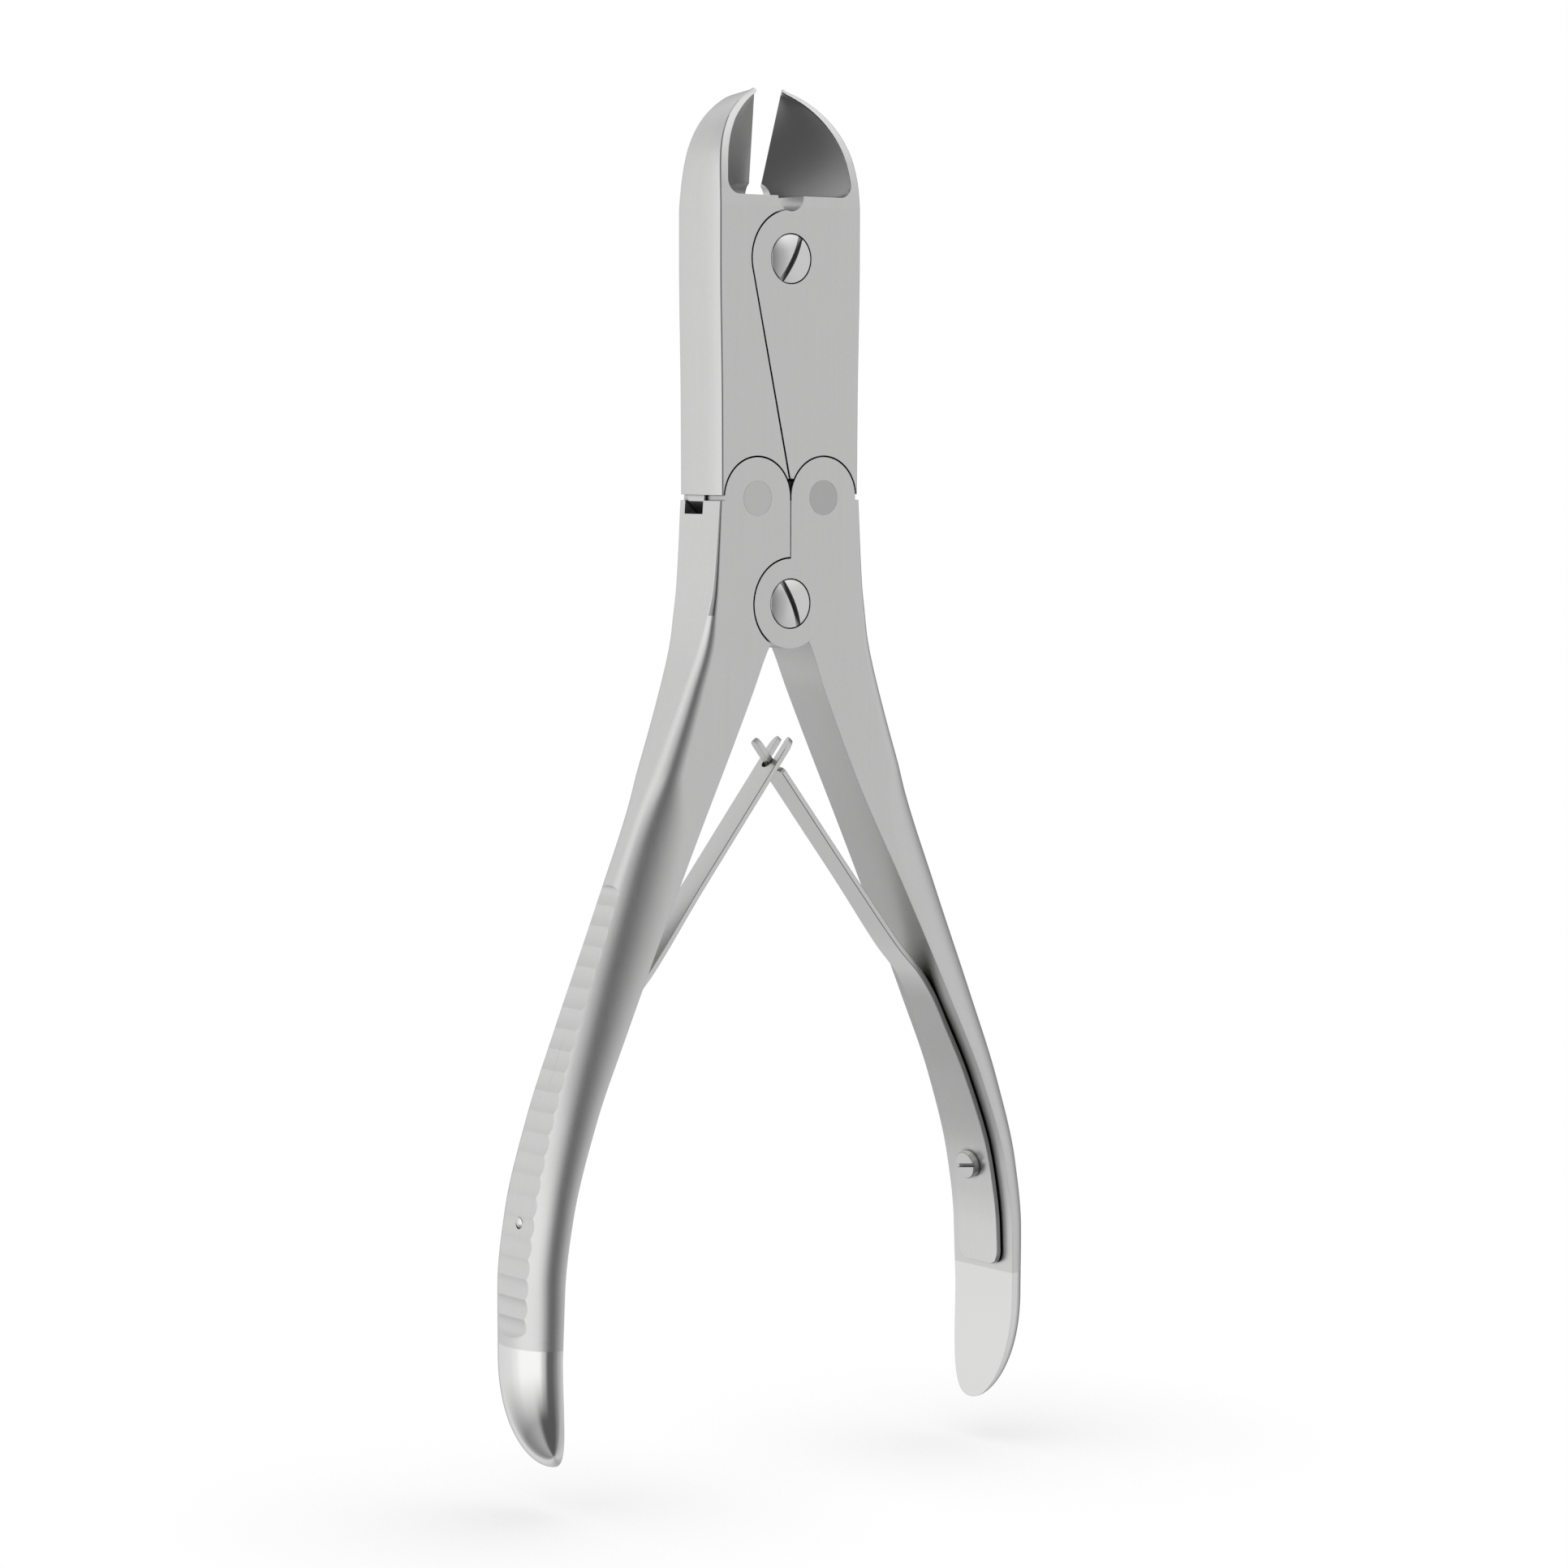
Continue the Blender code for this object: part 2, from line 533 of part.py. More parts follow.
def flex_point(path):
    """Point of the middle line at the height of the bending hinge."""
    for (xa, za), (xb, zb) in zip(path, path[1:]):
        if za <= FLEX_Z <= zb:
            share = (FLEX_Z - za) / (zb - za)
            return xa + (xb - xa) * share, FLEX_Z
    raise ValueError("the hinge height is off the leaf")


def leaf_piece(name, place, path, collection):
    """Flat strip along part of the middle line, as wide as the leaf is at each height."""
    sections = []
    for i, (x, z) in enumerate(path):
        before, after = path[max(i - 1, 0)], path[min(i + 1, len(path) - 1)]
        along = Vector((after[0] - before[0], after[1] - before[1])).normalized()
        across = Vector((-along.y, along.x)) * LEAF_THICKNESS / 2
        half = curve_value_mm(LEAF_WIDTHS, z) / 2
        corners = [(1, -half), (1, half), (-1, half), (-1, -half)]
        sections.append([(place.x(x + s * across.x), y, z + s * across.y) for s, y in corners])
    return loft(name, sections, collection)


def point_before_crossing(distance):
    """Point of the straight part, a distance before the crossing (past it if negative)."""
    return distance * math.sin(LEAF_ANGLE), CROSSING_Z - distance * math.cos(LEAF_ANGLE)


def tip_cutter(name, place, y_low, y_high):
    """Block that takes away part of the leaf's width, from the fork root to beyond the tip."""
    root, end = point_before_crossing(FORK_ROOT), point_before_crossing(-2 * LEAF_PAST_CROSSING)
    across = Vector((math.cos(LEAF_ANGLE), math.sin(LEAF_ANGLE))) * 2 * LEAF_THICKNESS
    outline = [(root[0] - across.x, root[1] - across.y), (root[0] + across.x, root[1] + across.y),
               (end[0] + across.x, end[1] + across.y), (end[0] - across.x, end[1] - across.y)]
    return plate(place.name + "_" + name, place.outline(outline), y_low, y_high, place.cutters)


def make_leaf(place, collection):
    """The clamped part and the free part of a leaf, as two nodes that meet at the bending hinge."""
    path = leaf_path()
    hinge = flex_point(path)
    lower = [p for p in path if p[1] < FLEX_Z] + [hinge]
    upper = [hinge] + [p for p in path if p[1] > FLEX_Z]
    lower[-1] = point_towards(hinge, lower[-2], SEAM / 2)
    upper[0] = point_towards(hinge, upper[1], SEAM / 2)
    clamped = leaf_piece("spring_" + place.name + "_clamped", place, lower, collection)
    boolean(clamped, spring_screw_bore(place), "DIFFERENCE")
    free = leaf_piece("spring_" + place.name + "_free", place, upper, collection)
    if place.side == LEFT:
        boolean(free, tip_cutter("fork", place, -FORK_GAP / 2, FORK_GAP / 2), "DIFFERENCE")
    else:
        boolean(free, tip_cutter("shoulder_front", place, -BEYOND, -TONGUE_WIDTH / 2), "DIFFERENCE")
        boolean(free, tip_cutter("shoulder_back", place, TONGUE_WIDTH / 2, BEYOND), "DIFFERENCE")
    return clamped, free


def point_towards(point, target, distance):
    """Point a short way from one point towards another."""
    step = Vector((target[0] - point[0], target[1] - point[1])).normalized() * distance
    return point[0] + step.x, point[1] + step.y


# ---- spring screws ------------------------------------------------------------------------
def inner_face_lean(height):
    """Angle between the handle's inner face and the vertical at one height."""
    return math.atan2(handle_values(height - MM)[0] - handle_values(height + MM)[0], 2 * MM)


def spring_screw_axis(place):
    """Point where the screw crosses the handle's inner face, and its direction into the handle."""
    lean = inner_face_lean(SPRING_SCREW_Z)
    start = Vector((place.x(handle_values(SPRING_SCREW_Z)[0]), 0, SPRING_SCREW_Z))
    return start, Vector((place.x(math.cos(lean)), 0, math.sin(lean)))


def spring_screw_bore(place):
    start, into = spring_screw_axis(place)
    return round_bar(place.name + "_spring_screw_bore", start - into * BEYOND, start + into * BEYOND,
                     SPRING_SHANK_RADIUS + SPRING_SHANK_GAP, place.cutters, SMALL_SEGMENTS)


def make_spring_screw(place, collection):
    """Cheese head on the leaf, shank through leaf and handle, end peened on the outer face."""
    start, into = spring_screw_axis(place)
    stand_off = LEAF_GAP + LEAF_THICKNESS + SEAM
    seat = start - into * stand_off
    inner, outer = handle_values(SPRING_SCREW_Z)[:2]
    lean = inner_face_lean(SPRING_SCREW_Z)
    reach = -(stand_off + (outer - inner) * math.cos(lean) + SPRING_END_PROUD)
    profile = [(0.0, SPRING_HEAD_HEIGHT), (SPRING_HEAD_RADIUS, SPRING_HEAD_HEIGHT), (SPRING_HEAD_RADIUS, 0.0),
               (SPRING_SHANK_RADIUS, 0.0), (SPRING_SHANK_RADIUS, reach), (0.0, reach)]
    turn = (0, -place.side * (math.pi / 2 + lean), 0)
    screw = turned("spring_screw_" + place.name, profile, collection, seat, turn, SMALL_SEGMENTS)
    slot = slot_cutter("spring_screw_slot_" + place.name, SPRING_HEAD_RADIUS * 2, SPRING_SLOT_WIDTH,
                       SPRING_SLOT_DEPTH, SPRING_HEAD_HEIGHT, SPRING_SLOT_ANGLE, screw, place.cutters)
    boolean(screw, slot, "DIFFERENCE")
    return screw


# ---- materials, joints, assembly ----------------------------------------------------------
def metal(name, colour, roughness):
    material = bpy.data.materials.new(name)
    material.use_nodes = True
    shader = material.node_tree.nodes["Principled BSDF"]
    shader.inputs["Base Color"].default_value = (*colour, 1.0)
    shader.inputs["Metallic"].default_value = 1.0
    shader.inputs["Roughness"].default_value = roughness
    return material


def finish(obj, colour, roughness):
    obj.data.materials.clear()
    obj.data.materials.append(metal(obj.name + "_steel", colour, roughness))
    obj.data.shade_smooth()
    obj.data.set_sharp_from_angle(angle=math.radians(30))


def joint_empty(name, location, parent, collection):
    """Empty on a joint's axis; the pieces of the moving body hang from it."""
    empty = bpy.data.objects.new(name, None)
    empty.empty_display_size = 5 * MM
    empty.location = location
    collection.objects.link(empty)
    bpy.context.view_layer.update()
    if parent is not None:
        hang(empty, parent)
    return empty


def hang(child, parent):
    child.parent = parent
    child.matrix_parent_inverse = parent.matrix_world.inverted()
    bpy.context.view_layer.update()


def clear_scene():
    for obj in list(bpy.data.objects):
        bpy.data.objects.remove(obj)


def new_collection(name):
    collection = bpy.data.collections.new(name)
    bpy.context.scene.collection.children.link(collection)
    return collection


def build_side(side, parts, cutters, root):
    """All pieces of one side, hung from that side's joints."""
    place = Side(side, cutters)
    handle_joint = joint_empty("handle_pivot_" + place.name, (0, 0, 0), root, parts)
    pin_joint = joint_empty("link_joint_" + place.name, (place.x(PIN_X), 0, PIN_Z), handle_joint, parts)
    flex = flex_point(leaf_path())
    flex_joint = joint_empty("leaf_flex_" + place.name, (place.x(flex[0]), 0, flex[1]), handle_joint, parts)
    handle, jaw = make_handle(place, parts), make_jaw(place, parts)
    pin, screw = make_link_pin(place, parts), make_spring_screw(place, parts)
    clamped, free = make_leaf(place, parts)
    for obj, joint in ((handle, handle_joint), (jaw, pin_joint), (pin, handle_joint)):
        finish(obj, SATIN_STEEL, SATIN_ROUGHNESS)
        hang(obj, joint)
    for obj, joint in ((screw, handle_joint), (clamped, handle_joint), (free, flex_joint)):
        finish(obj, BRIGHT_STEEL, BRIGHT_ROUGHNESS)
        hang(obj, joint)
    return handle_joint, pin_joint


def main():
    clear_scene()
    parts = new_collection("wire_cutter")
    cutters = new_collection("cutters")
    root = joint_empty("cutter_root", (0, 0, 0), None, parts)
    joints = {side: build_side(side, parts, cutters, root) for side in (LEFT, RIGHT)}
    handle_joint, jaw_joint = joints[LEFT]
    jaw_screw = make_pivot_screw("jaw_pivot_screw", JAW_PIVOT_Z, JAW_SLOT_ANGLE, parts, cutters)
    handle_screw = make_pivot_screw("handle_pivot_screw", 0.0, HANDLE_SLOT_ANGLE, parts, cutters)
    for screw, joint in ((jaw_screw, jaw_joint), (handle_screw, handle_joint)):
        finish(screw, BRIGHT_STEEL, BRIGHT_ROUGHNESS)
        bpy.context.view_layer.update()
        hang(screw, joint)
    for cutter in cutters.objects:
        cutter.hide_render = True
        cutter.display_type = "WIRE"
        hang(cutter, root)
    root.location.z = -handle_levels()[-1]


main()
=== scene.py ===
"""Looks of the double-action wire cutter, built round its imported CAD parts.

Shapes are drawn round the lower pivot (X right, -Y front, Z up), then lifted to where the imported
part has that pivot. Each finished piece stands for one or two CAD nodes and rides on their body.
"""
import math

import bmesh
import bpy
from mathutils import Matrix, Vector


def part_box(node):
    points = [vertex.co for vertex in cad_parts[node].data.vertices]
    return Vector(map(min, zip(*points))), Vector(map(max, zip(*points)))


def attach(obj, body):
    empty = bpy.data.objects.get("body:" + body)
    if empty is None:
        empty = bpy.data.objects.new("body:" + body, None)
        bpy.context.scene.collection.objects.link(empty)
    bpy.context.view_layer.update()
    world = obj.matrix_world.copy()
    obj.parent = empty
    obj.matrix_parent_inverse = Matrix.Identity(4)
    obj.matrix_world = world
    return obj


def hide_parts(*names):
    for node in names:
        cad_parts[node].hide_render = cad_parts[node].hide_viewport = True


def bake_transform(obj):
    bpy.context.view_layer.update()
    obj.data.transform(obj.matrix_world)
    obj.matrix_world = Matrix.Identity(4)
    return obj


MM = 0.001
LEFT, RIGHT = -1, 1
SIDE_NAME = {LEFT: "left", RIGHT: "right"}

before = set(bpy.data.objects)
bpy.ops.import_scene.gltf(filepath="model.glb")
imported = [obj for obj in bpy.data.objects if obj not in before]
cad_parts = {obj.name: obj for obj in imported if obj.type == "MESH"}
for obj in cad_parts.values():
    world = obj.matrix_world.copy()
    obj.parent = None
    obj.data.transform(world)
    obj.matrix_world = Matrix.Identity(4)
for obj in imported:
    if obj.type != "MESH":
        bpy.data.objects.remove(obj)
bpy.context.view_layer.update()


def middle(node):
    low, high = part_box(node)
    return (low + high) / 2


# ---- dimensions ----------------------------------------------------------------------------
LIFT = middle("handle_pivot_screw").z                   # height of the lower pivot in the frame
JAW_PIVOT_Z = middle("jaw_pivot_screw").z - LIFT
PIN_X = middle("link_pin_right").x
PIN_Z = middle("link_pin_right").z - LIFT
HALF_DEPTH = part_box("link_pin_right")[1].y
TIP_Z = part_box("jaw_left")[1].z - LIFT
BEYOND = 2 * HALF_DEPTH
SEAM = 0.3 * MM
WELD = 0.0004 * MM               # points closer than this are one point

JAW_BOTTOM_Z = 18.4 * MM
JAW_CUSP_Z = 21.1 * MM
JAW_NOSE_Z = 64.0 * MM           # levels are closer above this, where the jaw tapers
JAW_HUB_RADIUS = 8.1 * MM
JAW_TIP_HALF_GAP = 2.9 * MM
JAW_CORNER = 0.3 * MM
JAW_BULGE = 0.25 * MM            # how far the middle of the jaw's side face stands out
JAW_CROWN = 0.35 * MM            # how far the side face falls away from there to its front edge
JAW_FULL_WIDTH = 6.0 * MM        # narrower than this, bulge and crown shrink in step
JAW_BACK_CROWN = 0.4             # the same at its back edge, as a share of that
BEVEL_LAND = 0.05 * MM           # flat land behind the cutting edge, then the bevel
BEVEL_RUN = 0.85                 # sideways run of the bevel for each step back
BEVEL_ROOM = 0.9                 # share of a level's width that the bevel may take
BEVEL_STEP = 0.002 * MM          # keeps the bevel's two ends apart
LEAST_WIDTH = 0.3 * MM           # of a level, at the jaw's very tip
SLIVER = 0.02 * MM               # smallest step in an outline, and slack in two tests
JAW_OUTER_EDGE = [(14.5, 18.4), (14.6, 35.0), (14.95, 58.0), (14.95, 66.0), (14.85, 69.7),
                  (14.6, 72.4), (14.1, 75.2), (13.1, 78.0), (11.5, 80.7), (10.2, 82.2), (8.4, 83.8),
                  (5.9, 85.4)]
JAW_FRONT_PROFILE = [(-5.8, 66.8), (-5.55, 70.0), (-4.9, 74.0), (-3.8, 78.0), (-2.6, 81.2),
                     (-1.3, 84.0), (0.7, 86.9)]
JAW_BACK_PROFILE = [(4.1, 86.9), (4.6, 82.0), (4.9, 76.0), (5.3, 71.0), (5.8, 66.0)]
RELIEF_RADIUS = 2.7 * MM
RELIEF_Z = 68.6 * MM
RELIEF_STRIP_X = 0.9 * MM
EDGE_ROOT_Z = 71.0 * MM
EDGE_ROOT_Y = 4.3 * MM
EDGE_TIP_Y = 0.7 * MM
RECESS_FLOOR_Z = 68.5 * MM
RECESS_CORNER = 2.5 * MM
RECESS_RIM = 1.75 * MM
RECESS_WALL = 0.35 * MM
RECESS_HOLLOW = 0.3 * MM
RECESS_FULL_WIDTH = 4.0 * MM
RECESS_OVERRUN = 1.5 * MM        # the hollow's cutter runs this far past the middle
STEEPEST_RUN = 3.5 * MM          # the hollow's cutter climbs no more than this past the edge

TONGUE_Y = (-0.7 * MM, 4.0 * MM)
CLEVIS_Y = (-0.9 * MM, 4.2 * MM)
TONGUE_RADIUS = 5.65 * MM
TONGUE_OUTER_RADIUS = 7.4 * MM
WINDOW_Z = 15.2 * MM             # lower end of the slot's window in the handle's outer face
WINDOW_DEPTH = 4.0 * MM
LOBE_RADIUS = 6.85 * MM
LOBE_POCKET_RADIUS = 7.15 * MM
CLEVIS_RADIUS = 7.95 * MM
PIN_BORE_RADIUS = 3.16 * MM
PIN_RADIUS = 2.95 * MM
HAIRLINE = 0.01 * MM             # gap round a piece that is peened flush

HEAD_RADIUS = 4.15 * MM
HEAD_DEPTH = 1.8 * MM
HEAD_DOME = 0.75 * MM
SHANK_RADIUS = 2.4 * MM
HEAD_GAP = 0.13 * MM
SLOT_WIDTH = 0.95 * MM
SLOT_DEPTH = 1.0 * MM
JAW_SLOT_ANGLE = math.radians(29.0)
HANDLE_SLOT_ANGLE = math.radians(-25.0)

HANDLE_HUB_RADIUS = 7.6 * MM
HANDLE_LINE_END_Z = -2.0 * MM    # the painted dark reflection line on the handle's corner runs down to here
GRIP_ROUND_Z = -123.5 * MM
GRIP_END_Z = -LIFT               # the handles end on the frame's base
GRIP_END_DRIFT = 3.0 * MM
GRIP_END_POWER = 2.3             # how square the rounded end is, seen from the side
GRIP_END_LEVELS = 44
GRIP_END_TURN = 88               # degrees; the last level is this far round the end
# height, inner face, outer face, half depth, corner radius (mm)
HANDLE_STATIONS = [(17.45, 0.09, 14.75, 5.8, 0.35), (3.0, 0.09, 15.85, 5.8, 0.8),
                   (-2.0, 0.09, 16.75, 5.8, 1.3), (-6.5, 4.0, 17.8, 5.75, 2.0),
                   (-15.0, 7.7, 20.8, 5.45, 2.8), (-30.0, 14.7, 26.8, 5.3, 4.2),
                   (-50.0, 24.9, 35.1, 6.2, 5.8), (-70.0, 34.7, 43.2, 7.1, 7.1),
                   (-85.0, 41.6, 48.6, 7.7, 7.7), (-100.0, 46.4, 52.5, 8.1, 8.1),
                   (-112.0, 48.1, 53.9, 8.1, 8.1), (-123.5, 48.4, 53.9, 7.85, 7.85)]
ROUND_FROM = 0.75                # corner radius over half depth where the outside starts to round over
FRONT_STEPS = 30                 # points round each corner of the handle's section
FLUTE_STEPS = 12                 # points across each half of the fluted face
LAST_TURN = math.radians(84)     # an uncut corner turns this far before the fluted face's points
RIB_TOP_Z = -46.3 * MM           # flutes across the outer face of each grip
RIB_PITCH = 3.35 * MM
RIB_COUNT = 22
RIB_DEPTH = 1.0 * MM             # how far the flutes cut into the round outer face
RIB_RADIUS = 6.5 * MM            # shallow hollow of each flute, which leaves low ridges
RIB_END_RADIUS = 1.9 * MM        # tighter hollow where the first and the last flute run out
RIB_FIRST_SHARE = 0.75           # the outermost flutes are this deep, as a share
RIB_FADE = 3.0                   # flutes from either end until they reach full depth
POLISH_Z = {LEFT: -121.6 * MM, RIGHT: -119.7 * MM}
POLISH_STEP = 6000.0             # steepness of the step from satin to polish, per metre
POLISH_ROUGHNESS = 0.14
POLISH_LIFT = 1.16               # the polished ends are this much brighter
BUMP_STRENGTH = 0.12
PAINTED_SHADE_REACH = 0.8 * MM         # painted shade darkens seams and contacts within this distance
PAINTED_SHADE_BLACK, PAINTED_SHADE_GAIN = 0.12, 1.35   # painted shade is black at this occlusion value, then rises this steeply
EDGE_SOFTNESS = 0.1 * MM
SHARP_ANGLE = math.radians(24)   # edges sharper than this aren't shaded smooth

# Which faces get a second material: a painted dark reflection on the corners, painted shade in the relief
# and the screw slots, and a ground finish partly darkened as painted shade in the recess; the first two are
# parts of a unit normal.
CORNER_SIDEWAYS = 0.42
CORNER_FORWARDS = 0.3
CORNER_REACH = 1.2               # how far in the jaw's corner gets the painted dark reflection, over its radius
EDGE_SLACK = 0.1 * MM            # the painted recess starts this far past the cutting edge
RECESS_SLACK = 0.12 * MM         # and its faces lie this close to the hollow
RELIEF_SLACK = 0.05 * MM         # the same for the bored wall of the relief, which gets painted shade
SLOT_REACH = 0.97                # how far out a spring screw's slot is, over the head's radius

SATIN_GREY, SATIN_ROUGHNESS = 0.64, 0.33

LEAF_THICKNESS = 0.95 * MM
LEAF_EDGE = 0.1 * MM
LEAF_GAP = 0.3 * MM
LEAF_END_Z = -118.5 * MM
LEAF_LEAVES_Z = -75.0 * MM
LEAF_BEND = [(33.9, -70.0), (30.9, -65.4)]
LEAF_STRAIGHT = [-60.5, -50.0]
LEAF_ANGLE = math.radians(38.5)
CROSSING_Z = -27.3 * MM
LEAF_PAST_CROSSING = 5.3 * MM
LEAF_END_LENGTH = 2.6 * MM       # the lower end is rounded over this length
LEAF_END_PULL = 1.6 * MM         # and is narrower by this much on each side
LEAF_WIDTHS = [(-118.5, 10.6), (-98.0, 10.2), (-84.0, 9.0), (-70.0, 7.3), (-57.0, 6.0), (-45.0, 5.3),
               (-20.0, 5.3)]
BEND_FROM_Z, BEND_TO_Z = -75.0 * MM, -60.0 * MM

SPRING_SCREW_Z = -100.5 * MM
HEAD_STAND_OFF = LEAF_GAP + LEAF_THICKNESS + 0.07 * MM   # clear of the leaf, which curves under the head
SPRING_HEAD_RADIUS = 2.45 * MM
SPRING_HEAD_HEIGHT = 1.4 * MM
PEENED_Z = -101.2 * MM           # where the screw's peened end shows in the outer face
PEENED_RADIUS = 0.95 * MM
SPRING_SLOT_WIDTH = 0.7 * MM
SPRING_SLOT_DEPTH = 0.7 * MM
SPRING_SLOT_ANGLE = math.radians(8)


# ---- light -----------------------------------------------------------------------------------
# Brightness of the tent round the tool, level with it, above it and below it. The first number of
# each pair is the azimuth in degrees, from the front towards the left.
WALL_LIGHT = [(-180, 0.85), (-152, 0.42), (-140, 0.24), (-115, 0.26), (-95, 0.55), (-75, 0.8),
              (-32, 0.8), (-14, 0.55), (4, 0.28), (20, 0.15), (36, 0.15), (51, 0.75), (66, 1.25),
              (112, 1.25), (128, 1.05), (142, 0.93), (180, 0.85)]
HIGH_LIGHT = [(-180, 0.9), (-130, 0.8), (-60, 1.25), (-20, 1.25), (0, 0.6), (15, 0.16), (70, 0.16),
              (90, 1.05), (135, 0.72), (180, 0.78)]
LOW_LIGHT = [(-180, 0.85), (-130, 0.5), (-60, 0.75), (-20, 0.6), (0, 0.25), (15, 0.12), (66, 0.12),
             (88, 0.5), (150, 0.3), (163, 0.42), (176, 0.85), (180, 0.85)]

WALL_TOP, WALL_FADE = 0.28, 2.6        # sine of the height where the walls give way, and how fast
CEILING_FROM, CEILING_FADE = 0.82, 6.0
FLOOR_Z = -7.6 * MM                    # below the base: a closing handle's end swings down 7.2 mm
FLOOR_GREY = 0.67
# reach of the occlusion test for the floor's painted shadow
FLOOR_PAINTED_SHADOW_REACH = 60.0 * MM

CAMERA_ANGLES = (37.5, 4.5, 0.13)      # degrees: to the left of the front, looking down, roll
CAMERA_TARGET = (3.15 * MM, -31.1 * MM)
CAMERA_DISTANCE = 763.9 * MM
HALF_FRAME = 134.17 * MM               # half of what the camera sees across at that distance


# ---- helpers -------------------------------------------------------------------------------
def curve_value(rows, height, column=1):
    """Value of one column at a height, by a smooth curve through the rows (no overshoot)."""
    rows = sorted(rows)
    xs = [row[0] for row in rows]
    ys = [row[column] for row in rows]
    if height <= xs[0]:
        return ys[0]
    if height >= xs[-1]:
        return ys[-1]
    steps = [(ys[i + 1] - ys[i]) / (xs[i + 1] - xs[i]) for i in range(len(xs) - 1)]
    slopes = [steps[0]] + [0.0] * (len(xs) - 2) + [steps[-1]]
    for i in range(1, len(xs) - 1):
        if steps[i - 1] * steps[i] > 0:
            slopes[i] = 2 * steps[i - 1] * steps[i] / (steps[i - 1] + steps[i])
    i = max(k for k in range(len(xs) - 1) if xs[k] <= height)
    span = xs[i + 1] - xs[i]
    t = (height - xs[i]) / span
    return ((2 * t ** 3 - 3 * t ** 2 + 1) * ys[i] + (t ** 3 - 2 * t ** 2 + t) * span * slopes[i]
            + (3 * t ** 2 - 2 * t ** 3) * ys[i + 1] + (t ** 3 - t ** 2) * span * slopes[i + 1])


def curve_value_mm(rows, height, column=1):
    return curve_value(rows, height / MM, column) * MM


def arc(centre, radius, start, end, segments):
    """Points on an arc; angles in degrees from the first axis towards the second."""
    turns = [math.radians(start + (end - start) * i / segments) for i in range(segments + 1)]
    return [(centre[0] + radius * math.cos(t), centre[1] + radius * math.sin(t)) for t in turns]


def mesh_object(name, bm):
    bmesh.ops.remove_doubles(bm, verts=bm.verts, dist=1e-7)
    bmesh.ops.recalc_face_normals(bm, faces=bm.faces)
    mesh = bpy.data.meshes.new(name)
    bm.to_mesh(mesh)
    bm.free()
    obj = bpy.data.objects.new(name, mesh)
    bpy.context.scene.collection.objects.link(obj)
    return obj


def loft(name, rings):
    """Skin through closed rings of equal length, with both ends capped."""
    bm = bmesh.new()
    rows = [[bm.verts.new(point) for point in ring] for ring in rings]
    count = len(rows[0])
    for low, high in zip(rows, rows[1:]):
        for i in range(count):
            bm.faces.new((low[i], low[(i + 1) % count], high[(i + 1) % count], high[i]))
    bm.faces.new(rows[0])
    bm.faces.new(rows[-1])
    return mesh_object(name, bm)


def plate(name, outlines, thickness, matrix):
    """Flat plate with its outlines (holes too) in the matrix's X-Y plane, centred on it."""
    curve = bpy.data.curves.new(name, "CURVE")
    curve.dimensions = "2D"
    curve.fill_mode = "BOTH"
    curve.extrude = thickness / 2
    for outline in outlines:
        spline = curve.splines.new("POLY")
        spline.points.add(len(outline) - 1)
        for point, (x, y) in zip(spline.points, outline):
            point.co = (x, y, 0.0, 1.0)
        spline.use_cyclic_u = True
    flat = bpy.data.objects.new(name + "_outline", curve)
    bpy.context.scene.collection.objects.link(flat)
    bpy.context.view_layer.update()
    mesh = bpy.data.meshes.new_from_object(flat.evaluated_get(bpy.context.evaluated_depsgraph_get()))
    bpy.data.objects.remove(flat)
    bm = bmesh.new()
    bm.from_mesh(mesh)
    bpy.data.meshes.remove(mesh)
    bmesh.ops.transform(bm, matrix=matrix, verts=bm.verts)
    bmesh.ops.remove_doubles(bm, verts=bm.verts, dist=1e-6)
    bmesh.ops.dissolve_limit(bm, angle_limit=math.radians(0.1), verts=bm.verts, edges=bm.edges)
    return mesh_object(name, bm)


def upright_plate(name, side, outline, y_low, y_high):
    """Plate in the X-Z plane; y counts towards that side's own hub layer."""
    low, high = sorted((-side * y_low, -side * y_high))
    matrix = Matrix.Translation((0, (low + high) / 2, 0)) @ Matrix.Rotation(math.pi / 2, 4, "X")
    return plate(name, [[(side * x, z) for x, z in outline]], high - low, matrix)


def round_bar(name, start, end, radius, segments=128):
    start, end = Vector(start), Vector(end)
    bm = bmesh.new()
    bmesh.ops.create_cone(bm, cap_ends=True, segments=segments, radius1=radius, radius2=radius,
                          depth=(end - start).length)
    turn = (end - start).to_track_quat("Z", "Y").to_matrix().to_4x4()
    bmesh.ops.transform(bm, matrix=Matrix.Translation((start + end) / 2) @ turn, verts=bm.verts)
    return mesh_object(name, bm)


def side_bar(name, side, x, z, radius, y_low, y_high):
    low, high = sorted((-side * y_low, -side * y_high))
    return round_bar(name, (side * x, low, z), (side * x, high, z), radius)


def carve(target, steps):
    """Apply Boolean steps of (operation, tool) one by one, tidying the mesh after each."""
    for operation, tool in steps:
        modifier = target.modifiers.new(tool.name, "BOOLEAN")
        modifier.operation = operation
        modifier.object = tool
        modifier.solver = "EXACT"
        bpy.context.view_layer.update()
        result = bpy.data.meshes.new_from_object(
            target.evaluated_get(bpy.context.evaluated_depsgraph_get()))
        target.modifiers.clear()
        bm = bmesh.new()
        bm.from_mesh(result)
        bmesh.ops.remove_doubles(bm, verts=bm.verts, dist=WELD)
        bmesh.ops.dissolve_degenerate(bm, edges=bm.edges, dist=WELD)
        bm.to_mesh(result)
        bm.free()
        target.data = result
        bpy.data.objects.remove(tool)
    return target


